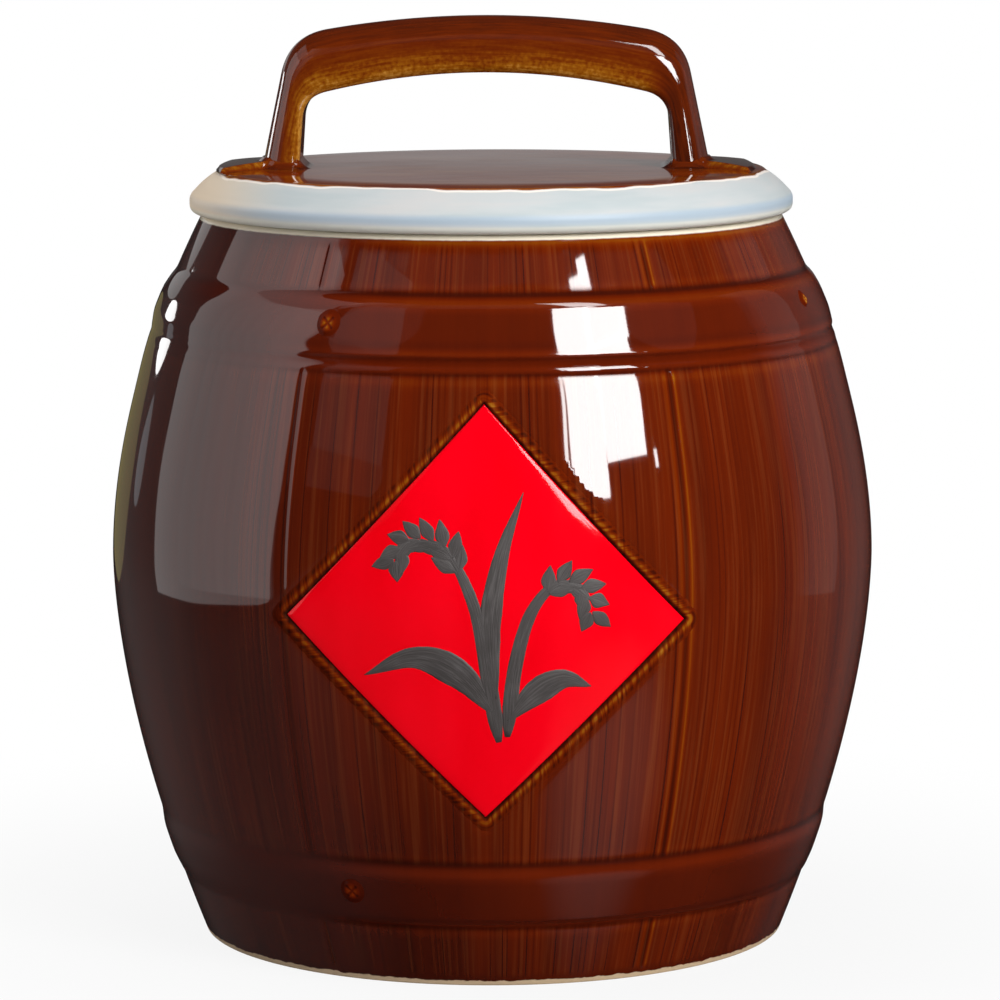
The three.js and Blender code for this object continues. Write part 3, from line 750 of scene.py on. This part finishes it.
def strap_section(thickness):
    """Section of the strap as (across, up, thinness): flat inside, crowned outside."""
    half, shoulder = HANDLE_HALF_DEPTH, thickness * STRAP_SHOULDER
    quarter, turn = np.radians(np.linspace(0, 90, 8)), np.radians(np.linspace(0, 180, 33))
    right = np.stack([half - STRAP_EDGE * (1 - np.cos(quarter)), STRAP_EDGE * (1 - np.sin(quarter))], axis=1)
    flat = [(half * share, 0) for share in (0.6, 0.3, 0, -0.3, -0.6)]
    left = right[::-1] * (-1, 1)
    crown = np.stack([-half * np.cos(turn), shoulder + (thickness - shoulder) * np.sin(turn)], axis=1)
    section = np.concatenate([right, flat, left, crown])
    edge = ease(0.5, 0.9, np.abs(section[:, :1]) / half)
    low = np.clip(1 - section[:, 1:] / thickness, 0, 1)
    return np.concatenate([section, (0.3 + 1.05 * edge) * low**1.8 - 0.05], axis=1)


def make_handle(glaze):
    """Strap that narrows from the middle of the grip to the knees and widens down the legs."""
    stations = [(out, into, 1) for out, into in zip(half_arch(*OUTER_LINE), half_arch(*INNER_LINE))]
    stations += [(out, into, -1) for out, into, _ in stations[-2::-1]]
    lengths = run_along([(out + into) / 2 * (side, 1) for out, into, side in stations])
    rings, thin, along, across = [], [], [], []
    for (out, into, side), length in zip(stations, lengths):
        thickness = np.linalg.norm(out - into)
        section = strap_section(thickness)
        place = into + (out - into) * section[:, 1:2] / thickness
        narrowing = STRAP_NARROWING[0] * (out[0] / STRAP_NARROWING[1]) ** 2
        spread = LEG_SPREAD[0] * np.clip(1 - out[1] / LEG_SPREAD[1], 0, 1) ** 1.5
        x, y = side * place[:, 0], (1 - narrowing + spread) * section[:, 0]
        rings.append(np.stack([HANDLE_SHIFT + x, y, HANDLE_BASE + place[:, 1]], axis=1))
        thin.append(section[:, 2] * (1 - 1.3 * ease(*DARK_LEG, x)))
        along.append(np.full(len(section), length))
        across.append(run_along(section[:, :2]))
    values = {"thin": thin, "along": along, "across": across}
    for end, spot in ((0, 0), (-1, len(rings) + 1)):
        rings.insert(spot, np.broadcast_to(rings[end].mean(0), rings[end].shape))
        for value in values.values():
            value.insert(spot, value[end])
    faces = grid_faces(len(rings), len(rings[0]), True)
    handle = make_piece("strap_handle", rings, faces, "cover", [glaze], values)
    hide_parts("lid_handle")


def make_feet(glaze):
    """Fan-shaped feet of the handle, run out over the lid's top with a fillet round each leg."""
    outer, inner = OUTER_LINE[0], INNER_LINE[0]
    section = strap_section(outer - inner)
    outline = np.stack([inner + section[:, 1], section[:, 0]], axis=1)
    y = np.broadcast_to(np.linspace(-PAD_HALF_WIDTH, PAD_HALF_WIDTH, 100), (80, 100))
    rim = np.sqrt((TOP_RADIUS - PAD_MARGIN) ** 2 - y**2)
    x = PAD_START + (rim - PAD_START) * np.linspace(0, 1, 80)[:, None]
    gap = np.full(x.shape, np.inf)
    for start, run in zip(outline, np.roll(outline, -1, axis=0) - outline):
        ahead, aside = x - start[0], y - start[1]
        share = np.clip((ahead * run[0] + aside * run[1]) / max(run @ run, 1e-9), 0, 1)
        gap = np.minimum(gap, np.hypot(ahead - share * run[0], aside - share * run[1]))
    crown = outer - LEG_CROWN + LEG_CROWN * np.sqrt(np.clip(1 - (y / HANDLE_HALF_DEPTH) ** 2, 0, 1))
    gap = np.where((np.abs(y) < HANDLE_HALF_DEPTH) & (x > inner) & (x < crown), 0, gap)
    fillet = LEG_FILLET[0] * np.clip(1 - gap / LEG_FILLET[1], 0, 1) ** 2.4
    out = np.clip((x - TONGUE_START) / (TOP_RADIUS - TONGUE_START), 0, 1)
    inset = TONGUE_WIDTH[0] + TONGUE_WIDTH[1] * out**1.2 - np.abs(y)
    tongue = (TONGUE_HEIGHT[0] - TONGUE_HEIGHT[1] * out) * ease(0, 2.2, inset)
    tongue *= ease(75, 82, x) * ease(-0.2, 1.4, rim - x)
    lift = np.cbrt(fillet**3 + tongue**3)
    bared = 0.9 * hump(inset, 1.5, 1.7) - 0.4 * ease(1.0, 5.0, inset)
    thin = bared * ease(80, 86, x) + 0.3 * hump(gap, 0.5, 1.0) - 0.3 * hump(lift, 0.4, 0.4)
    surface = lid_surface(np.hypot(x, y)) - PAD_SINK + lift
    back = np.full_like(x, LID_TOP - PAD_BACK)
    shells = []
    for side in (1, -1):
        place = (HANDLE_SHIFT + side * x, side * y)
        shells.append(slab(np.stack([*place, surface], axis=-1), np.stack([*place, back], axis=-1)))
    points, faces = joined(shells)
    values = {"thin": thin, "along": x, "across": y}
    values = {key: np.tile(value.ravel(), 4) for key, value in values.items()}
    make_piece("handle_feet", points, faces, "cover", [glaze], values)


# materials


class Nodes:
    """A node tree under construction, with short ways to add nodes to it."""

    def __init__(self, tree):
        self.tree = tree

    def plug(self, socket, value):
        if isinstance(value, bpy.types.NodeSocket):
            self.tree.links.new(value, socket)
        else:
            socket.default_value = value

    def add(self, kind, inputs=None, **settings):
        made = self.tree.nodes.new(kind)
        for key, value in settings.items():
            setattr(made, key, value)
        for key, value in (inputs or {}).items():
            self.plug(made.inputs[key], value)
        return made

    def math(self, operation, *values):
        return self.add("ShaderNodeMath", dict(enumerate(values)), operation=operation).outputs[0]

    def product(self, first, *others):
        for other in others:
            first = self.math("MULTIPLY", first, other)
        return first

    def sum(self, *parts):
        """Sum of sockets, (socket, weight) pairs and numbers."""
        total = 0
        for part in parts:
            if isinstance(part, tuple):
                total = self.math("MULTIPLY_ADD", part[0], part[1], total)
            else:
                total = self.math("ADD", total, part)
        return total

    def vector(self, operation, *values):
        return self.add("ShaderNodeVectorMath", dict(enumerate(values)), operation=operation).outputs[0]

    def split(self, place):
        return tuple(self.add("ShaderNodeSeparateXYZ", {"Vector": place}).outputs)

    def join(self, x, y=0):
        return self.add("ShaderNodeCombineXYZ", {"X": x, "Y": y}).outputs[0]

    def value(self, name):
        return self.add("ShaderNodeAttribute", attribute_name=name).outputs["Fac"]

    def noise(self, place, scale, detail=2, rough=0.5):
        inputs = {"Vector": place, "Scale": scale, "Detail": detail, "Roughness": rough}
        return self.add("ShaderNodeTexNoise", inputs).outputs["Fac"]

    def swing(self, *noise):
        """Noise about zero."""
        return self.math("SUBTRACT", self.noise(*noise), 0.5)

    def away(self, value, middle):
        """How far a value lies from a middle."""
        return self.math("ABSOLUTE", self.math("SUBTRACT", value, middle))

    def span(self, value, low, high, start=0, end=1):
        inputs = {"Value": value, "From Min": low, "From Max": high, "To Min": start, "To Max": end}
        return self.add("ShaderNodeMapRange", inputs, interpolation_type="SMOOTHSTEP").outputs["Result"]

    def ramp(self, value, stops):
        made = self.add("ShaderNodeValToRGB", {"Fac": value})
        elements = made.color_ramp.elements
        while len(elements) < len(stops):
            elements.new(0.5)
        for element, (place, colour) in zip(elements, stops):
            element.position = place
            element.color = (*colour, 1)
        return made.outputs["Color"]

    def mix(self, share, first, second):
        made = self.add("ShaderNodeMix", {"Factor": share}, data_type="RGBA")
        for socket, colour in ((made.inputs[6], first), (made.inputs[7], second)):
            self.plug(socket, colour if isinstance(colour, bpy.types.NodeSocket) else (*colour, 1))
        return made.outputs[2]


class Surface(Nodes):
    """A node material round one shader."""

    def __init__(self, name):
        self.material = bpy.data.materials.new(name)
        self.material.use_nodes = True
        super().__init__(self.material.node_tree)
        self.tree.nodes.clear()
        self.shader = self.add("ShaderNodeBsdfPrincipled")
        self.out = self.add("ShaderNodeOutputMaterial", {"Surface": self.shader.outputs["BSDF"]})
        self.place = self.add("ShaderNodeTexCoord").outputs["Object"]

    def round_jar(self, lengthwise):
        """Place on a unit cylinder, with heights squeezed so that patterns run lengthwise."""
        turn = self.vector("NORMALIZE", self.vector("MULTIPLY", self.place, (1, 1, 0)))
        rise = self.vector("MULTIPLY", self.place, (0, 0, lengthwise))
        return self.vector("ADD", turn, rise)

    def stretch(self, place, scale):
        return self.add("ShaderNodeMapping", {"Vector": place, "Scale": scale}).outputs["Vector"]

    def bumped(self, height, depth):
        inputs = {"Height": height, "Distance": depth * MM, "Strength": 1}
        return self.add("ShaderNodeBump", inputs).outputs["Normal"]

    def finish(self, **sockets):
        for key, value in sockets.items():
            self.plug(self.shader.inputs[key.replace("_", " ")], value)
        return self.material


GLAZE_STOPS = (
    (0, (0.018, 0.0035, 0.0022)), (0.22, (0.055, 0.0055, 0.0016)), (0.45, (0.118, 0.0108, 0.0011)),
    (0.62, (0.165, 0.0215, 0.0014)), (0.8, (0.265, 0.080, 0.004)), (1, (0.46, 0.23, 0.035)),
)
AMBER = (0.32, 0.14, 0.045)
CREAM = (0.90, 0.82, 0.66)
CLAY = (0.58, 0.42, 0.26)
GRAIN_LINES = 325  # of the wood grain, round the jar


def grain_line(s):
    """Dark lines of the moulded wood grain: 1 in a line, 0 between the lines."""
    x, y, _ = s.split(s.place)
    turn = s.math("ARCTAN2", x, s.product(y, -1))
    phase = s.sum((turn, GRAIN_LINES / math.tau), (s.swing(s.round_jar(0.08), 8), 4))
    gap = s.away(s.math("FRACT", phase), 0.5)
    chance = s.add("ShaderNodeTexWhiteNoise", {"W": s.math("FLOOR", phase)}, noise_dimensions="1D")
    patch = s.span(s.noise(s.round_jar(0.5), 14), 0.3, 0.6)
    return s.product(s.span(gap, 0, 0.22, 1, 0), s.span(chance.outputs["Value"], 0.1, 0.9), patch)


def brown_glaze():
    s = Surface("brown_glaze")
    x, _, height = s.split(s.place)
    stave, thin, rope = s.value("stave"), s.value("thin"), s.value("rope")
    fine = s.swing(s.round_jar(0.14), 85, 3, 0.6)
    streak = s.swing(s.round_jar(0.3), 16, 2)
    cloud = s.swing(s.place, 22, 3)
    # painted shade carried on the mesh; the grain's contrast (quiet) is lowered along with it
    shade = s.value("shade")
    quiet = s.sum(1, (shade, 2.7))
    line = s.product(grain_line(s), stave, quiet)
    vein = s.product(s.sum((streak, 0.35), (fine, 0.24)), s.math("MULTIPLY_ADD", stave, 0.8, 0.2), quiet)
    # painted light: the staves' glaze is lifted lighter towards the right, where the window's light falls
    right_light = s.product(s.span(x, -40 * MM, 60 * MM, 0, 0.05), stave)
    # painted shade: the glaze darkens towards the bottom, where less light falls
    low = s.span(height, 30 * MM, 90 * MM, -0.06, 0)
    hatch = s.product(s.span(s.noise(s.join(s.product(s.value("along"), 0.5)), 1, 2), 0.44, 0.58), rope)
    tone = s.sum(
        0.36, right_light, shade, low, vein, (stave, 0.03), (thin, 0.42), (cloud, 0.1), (line, -0.2), (hatch, -0.25)
    )
    gold = s.product(s.span(s.sum(fine, (line, -0.2)), -0.04, 0.16, 0, 0.06), stave, quiet)
    colour = s.mix(gold, s.ramp(tone, GLAZE_STOPS), AMBER)
    ragged = s.noise(s.place, 260, 3)
    lip_edge = s.math("MULTIPLY_ADD", ragged, 0.3 * MM, height)
    lip = s.span(lip_edge, (JAR_HEIGHT - 2) * MM, (JAR_HEIGHT - LIP_EDGE) * MM)
    foot = s.span(s.math("MULTIPLY_ADD", ragged, -1.8 * MM, height), 0.9 * MM, 1.3 * MM, 1, 0)
    colour = s.mix(lip, colour, CREAM)
    colour = s.mix(foot, colour, CLAY)
    relief = s.sum((line, -0.01), (s.noise(s.place, 30, 1), 1))
    rough = s.sum(s.span(cloud, -0.4, 0.4, 0.025, 0.05), (foot, 0.6), (s.math("MAXIMUM", thin, 0), 0.06))
    shine = s.span(s.value("dull"), 0, 0.8, 0.5, 0)
    return s.finish(
        Base_Color=colour, Roughness=rough, IOR=1.65, Specular_IOR_Level=shine, Normal=s.bumped(relief, 0.1)
    )


def cream_glaze():
    s = Surface("cream_lining")
    cloud = s.noise(s.place, 30, 4)
    speck = s.span(s.noise(s.place, 900, 1), 0.68, 0.74)
    colour = s.ramp(cloud, ((0.3, (0.66, 0.59, 0.46)), (0.7, (0.76, 0.70, 0.58))))
    colour = s.mix(s.product(speck, 0.5), colour, (0.42, 0.28, 0.15))
    return s.finish(Base_Color=colour, Roughness=0.18, Normal=s.bumped(s.noise(s.place, 120), 0.08))


def raw_clay():
    s = Surface("raw_clay")
    grit = s.noise(s.place, 700, 3)
    colour = s.ramp(grit, ((0.3, (0.47, 0.33, 0.2)), (0.7, (0.64, 0.48, 0.31))))
    return s.finish(Base_Color=colour, Roughness=0.85, Normal=s.bumped(grit, 0.25))


RED_STOPS = ((0.3, (0.80, 0, 0.005)), (0.5, (0.86, 0, 0.007)), (0.7, (0.90, 0.0005, 0.009)))


def red_enamel():
    s = Surface("red_enamel")
    brush = s.noise(s.stretch(s.place, (1, 1, 0.25)), 60, 3)
    cloud = s.noise(s.place, 18, 2)
    colour = s.ramp(s.sum((brush, 0.5), (cloud, 0.5)), RED_STOPS)
    rough = s.span(brush, 0.3, 0.7, 0.05, 0.1)
    relief = s.sum((brush, 0.7), (s.noise(s.place, 240), 0.3))
    return s.finish(Base_Color=colour, Roughness=rough, IOR=1.4, Normal=s.bumped(relief, 0.04))


PAINT_STOPS = (
    (0.3, (0.03, 0.024, 0.023)), (0.5, (0.058, 0.05, 0.048)), (0.66, (0.1, 0.09, 0.088)),
    (0.8, (0.2, 0.1, 0.1)),
)


def brush_paint():
    s = Surface("brush_paint")
    across, along = s.value("across"), s.value("along")
    lines = s.join(s.product(across, 5), s.product(along, 0.05))
    streak = s.noise(lines, 1.6, 3, 0.65)
    cloud = s.noise(s.place, 90, 3)
    colour = s.ramp(s.sum((streak, 0.75), (cloud, 0.25)), PAINT_STOPS)
    return s.finish(Base_Color=colour, Roughness=0.55, Normal=s.bumped(streak, 0.15))


PALE_STOPS = ((0.35, (0.45, 0.50, 0.51)), (0.5, (0.50, 0.53, 0.535)), (0.65, (0.54, 0.54, 0.535)))
# painted warm reflection on the rim's left end
RIM_PEACH_REFLECTION = (0.74, 0.60, 0.44)
RIM_BLUE = (0.36, 0.45, 0.54)
RIM_CREAM = (0.74, 0.72, 0.62)
# painted highlight along the edge of the lid's brown glaze
EDGE_HIGHLIGHT_PINK = (0.90, 0.80, 0.72)


def lid_glaze():
    """Brown on the lid's top, pale on its rim: a painted warm reflection in peach at the left, blue on the
    nose, cream below it, and a painted highlight along the brown glaze's edge.
    """
    s = Surface("lid_glaze")
    past = s.value("past_edge")
    x, _, height = s.split(s.place)
    top = s.span(height, (LID_TOP - 3.2) * MM, (LID_TOP - 2.6) * MM)
    brown = s.product(s.span(past, -0.35, 0.35, 1, 0), top)
    # painted highlight: a pale pink line just past the edge of the brown glaze
    line = s.product(s.span(s.away(past, 0.5), 0.2, 0.7, 0.75, 0), top)
    band = s.noise(s.stretch(s.place, (1, 1, 9)), 16, 3, 0.6)
    # painted reflection: the rim's left end is coloured a lighter warm peach
    side = s.span(x, -110 * MM, -70 * MM)
    pale = s.mix(side, RIM_PEACH_REFLECTION, s.ramp(band, PALE_STOPS))
    nose = s.span(s.away(height, (SEAT + 5.1) * MM), 0.6 * MM, 2.6 * MM, 0.8, 0)
    pale = s.mix(s.product(nose, s.math("MULTIPLY_ADD", side, 0.8, 0.2)), pale, RIM_BLUE)
    low = s.span(height, (SEAT + 2.1) * MM, (SEAT + 3.3) * MM, 0.6, 0)
    pale = s.mix(low, pale, RIM_CREAM)
    pale = s.mix(line, pale, EDGE_HIGHLIGHT_PINK)
    streak = s.noise(s.stretch(s.place, (0.35, 3, 1)), 60, 3)
    tone = s.sum(0.34, (streak, 0.56), (s.span(past, -3, 0), 0.1))
    colour = s.mix(brown, pale, s.ramp(tone, GLAZE_STOPS))
    rough = s.math("MULTIPLY_ADD", brown, -0.42, s.span(band, 0.3, 0.7, 0.46, 0.54))
    ripple = s.sum((s.noise(s.place, 90), 0.6), (streak, 0.4))
    return s.finish(Base_Color=colour, Roughness=rough, IOR=1.5, Normal=s.bumped(ripple, 0.05))


HANDLE_STOPS = (
    (0, (0.018, 0.0035, 0.0022)), (0.22, (0.055, 0.0075, 0.0018)), (0.45, (0.118, 0.0145, 0.0013)),
    (0.62, (0.165, 0.029, 0.0016)), (0.8, (0.275, 0.088, 0.004)), (1, (0.50, 0.235, 0.035)),
)


def handle_glaze():
    s = Surface("handle_glaze")
    thin = s.value("thin")
    along, across = s.product(s.value("along"), 0.05), s.product(s.value("across"), 0.7)
    run = s.noise(s.join(along, across), 1, 4, 0.6)
    cloud = s.swing(s.place, 40, 3)
    speck = s.product(s.swing(s.place, 620, 2), s.math("MAXIMUM", thin, 0))
    tone = s.sum(0.08, (thin, 0.42), (run, 0.6), (cloud, 0.3), (speck, 0.5))
    colour = s.ramp(tone, HANDLE_STOPS)
    relief = s.sum((run, 0.5), (s.noise(s.place, 80), 0.5))
    return s.finish(Base_Color=colour, Roughness=0.045, IOR=1.65, Normal=s.bumped(relief, 0.04))


def soft_silicone():
    s = Surface("soft_silicone")
    cloud = s.noise(s.place, 150, 3)
    colour = s.ramp(cloud, ((0.3, (0.72, 0.71, 0.66)), (0.7, (0.80, 0.79, 0.75))))
    return s.finish(
        Base_Color=colour, Roughness=0.45, Subsurface_Weight=0.3, Subsurface_Scale=0.002,
        Normal=s.bumped(s.noise(s.place, 900), 0.05),
    )


# stage


FLOOR_RINGS = (0, 0.25, 0.5, 1, 2, 4, 8, 16, 40)  # metres
LAMP_AIM = 0.17  # height, in metres, that the lamps face
WINDOW_DISTANCE = 2.4
# name, left, right, low, high and level of the panes of the window and the skylight
WINDOW = (
    ("window_left", 23.8, 35.6, 11, 39, 16),
    ("window_right", 34.9, 48.8, 16, 34.5, 16),
    ("window_right_top", 34.9, 50.5, 34, 37.5, 16),
    ("window_peak_low", 27.5, 40.5, 38.9, 40.4, 16),
    ("window_peak", 32, 40.5, 40.3, 41.8, 16),
    ("window_peak_top", 36.5, 40.5, 41.7, 43.2, 16),
    ("window_sliver", 22.3, 23.4, 14, 33, 14),
    ("window_far_sliver", 50.6, 51.6, 14, 16.2, 14),
    ("skylight", 30, 50, 45, 67, 10),
)
BOARD_EDGE = -64.5  # right edge of the boards on the left
BOARD_LOOK = ((1, 0.97, 0.97), 1.5)  # colour and distance of those boards


def make_floor():
    """Floor that shows as white as the backdrop, and greyer where the jar stands."""
    points, faces = turned([(radius / MM, 0) for radius in FLOOR_RINGS], 96)
    mesh = make_mesh("floor", points, faces[:, ::-1])
    floor = add_object("floor", mesh)
    s = Surface("floor")
    grain = s.noise(s.place, 6, 3)
    colour = s.ramp(grain, ((0.3, (0.5, 0.5, 0.5)), (0.7, (0.54, 0.54, 0.54))))
    s.finish(Base_Color=colour, Roughness=0.9, Specular_IOR_Level=0)
    path = s.add("ShaderNodeLightPath").outputs
    seen = s.sum(path["Is Camera Ray"], path["Is Glossy Ray"], path["Is Transmission Ray"])
    gap = s.add("ShaderNodeVectorMath", {0: s.place}, operation="LENGTH").outputs["Value"]
    share = s.product(s.math("MINIMUM", seen, 1), s.span(gap, 0.08, 0.4, 0.88, 1))
    glow = s.add("ShaderNodeEmission", {"Color": (1, 1, 1, 1), "Strength": 1}).outputs[0]
    blend = s.add("ShaderNodeMixShader", {0: share, 1: s.shader.outputs[0], 2: glow}).outputs[0]
    s.plug(s.out.inputs["Surface"], blend)
    mesh.materials.append(s.material)
    floor.visible_glossy = False


def pane(
    name, left, right, low, high, level, colour=(1, 1, 1), distance=2, mirrored=True, shape="RECTANGLE"
):
    """Soft box that faces the jar and covers a span of turns and a span of elevations.

    Its level is how bright its face is, 1 being white. One that isn't mirrored only fills.
    """
    turn, lift = math.radians((left + right) / 2 + VIEW_TURN), math.radians((low + high) / 2)
    back = Vector((math.sin(turn) * math.cos(lift), -math.cos(turn) * math.cos(lift), math.sin(lift)))
    light = bpy.data.lights.new(name, "AREA")
    light.shape = shape
    light.size = 2 * distance * math.cos(lift) * math.tan(math.radians(right - left) / 2)
    light.size_y = 2 * distance * math.tan(math.radians(high - low) / 2)
    filled = math.pi / 4 if shape == "ELLIPSE" else 1
    light.energy = level * math.pi * light.size * light.size_y * filled
    light.color = colour
    lamp = add_object(name, light)
    lamp.location = Vector((0, 0, LAMP_AIM)) + back * distance
    lamp.rotation_mode = "QUATERNION"
    lamp.rotation_quaternion = back.to_track_quat("Z", "Y")
    lamp.visible_camera = False
    lamp.visible_glossy = mirrored


def make_world():
    """Dim studio: a pale wall far behind the jar, and a glow below, behind and at the lower right."""
    world = bpy.data.worlds.new("studio")
    world.use_nodes = True
    n = Nodes(world.node_tree)
    way = n.add("ShaderNodeTexCoord").outputs["Generated"]
    x, y, z = n.split(way)
    ahead = n.away(x, -math.sin(math.radians(VIEW_TURN)))
    above = n.span(z, -0.04, -0.005)
    across = n.product(n.span(ahead, 0.03, 0.06, 1, 0.3), n.span(ahead, 0.15, 0.25, 1, 0))
    wall = n.product(n.span(y, 0.9, 0.95), across, above, n.span(z, 0.02, 0.2, 0.32, 0.03))
    below = n.product(n.span(z, -0.35, -0.02, 1, 0), n.span(x, -0.9, -0.3, 0.07, 0))
    toward = n.add("ShaderNodeVectorMath", {0: way, 1: (0.53, -0.62, -0.57)}, operation="DOT_PRODUCT")
    patch = n.span(toward.outputs["Value"], 0.93, 0.99, 0, 0.2)
    level = n.product(n.span(y, 0, 0.5), n.span(n.math("ABSOLUTE", z), 0.15, 0.6, 1, 0))
    rear = n.product(level, n.sum(n.span(x, -0.6, -0.2, 0.07, 0), n.span(x, 0.2, 0.6, 0, 0.1)))
    backdrop = n.add("ShaderNodeLightPath").outputs["Is Camera Ray"]
    background = n.tree.nodes["Background"]
    strength = n.math("MAXIMUM", backdrop, n.sum(0.015, wall, below, patch, rear))
    n.plug(background.inputs["Strength"], strength)
    n.plug(background.inputs["Color"], (1, 1, 1, 1))
    bpy.context.scene.world = world


def make_lights():
    for row in WINDOW:
        pane(*row, distance=WINDOW_DISTANCE)
    pane("ceiling", -60, 60, 66, 110, 1.7, mirrored=False)
    pane("left_fill", -130, -70, 30, 70, 1.7, mirrored=False)
    pane("left_board", -120, BOARD_EDGE, -12.5, 42, 0.76, *BOARD_LOOK)
    pane("left_board_top", -120, BOARD_EDGE, 42, 56, 0.5, *BOARD_LOOK)
    for edge in range(-106, -75, 6):
        pane(f"left_board{edge}", edge, BOARD_EDGE, -10, 42, 0.065, *BOARD_LOOK)
    for step, level in enumerate((0.34, 0.21, 0.1)):
        edge = BOARD_EDGE + 10 * step
        pane(f"left_shoulder{step}", edge, edge + 10, 42, 60, level, *BOARD_LOOK)
    pane("top_veil", -60, 75, 43, 62, 0.07, distance=2.6)
    for low, high, level in ((28, 42, 0.2), (16, 28, 0.16), (11, 16, 0.08)):
        pane(f"left_haze_{low}", -57, -33, low, high, level)
    pane("left_rear_window", -144, -134, 3.6, 11.6, 4.5, shape="ELLIPSE")
    pane("left_rear_haze", -172, -143, 7, 18, 0.45, shape="ELLIPSE")
    pane("left_rear_blue", -138, -131.5, -3.5, 3.5, 0.35, (0.85, 0.93, 1), shape="ELLIPSE")
    pane("left_rear_olive", -166, -141, -10.5, 4, 0.2, (1, 0.87, 0.36), shape="ELLIPSE")
    pane("rear_fill", 130, 230, 25, 65, 0.9, mirrored=False)
    for edge in (99, 102, 105):
        pane(f"right_board_{edge}", edge, 123, -12, 40, 0.04, (1, 0.93, 0.92), 1.5)


def make_camera():
    data = bpy.data.cameras.new("camera")
    data.sensor_width = SENSOR
    data.lens = FOCAL_SHARE * SENSOR
    data.shift_x = FRAME_SHIFT
    data.clip_end = 200
    camera = add_object("camera", data)
    tilt = Matrix.Rotation(math.radians(90 - CAMERA_PITCH), 4, "X")
    roll = Matrix.Rotation(math.radians(CAMERA_ROLL), 4, "Z")
    turn = Matrix.Rotation(math.radians(VIEW_TURN), 4, "Z")
    place = Matrix.Translation((0, -CAMERA_DISTANCE * MM, CAMERA_HEIGHT * MM))
    camera.matrix_world = turn @ place @ tilt @ roll
    bpy.context.scene.camera = camera


make_camera()
make_lights()
make_world()
make_floor()

brown = brown_glaze()
make_jar(brown, cream_glaze(), raw_clay())
make_nails(brown)
make_frame(brown)
make_panel(red_enamel())
make_sprig(brush_paint())
make_lid(lid_glaze())
make_seal(soft_silicone())
grip = handle_glaze()
make_handle(grip)
make_feet(grip)

bpy.context.scene.view_settings.view_transform = "Standard"
bpy.context.view_layer.update()
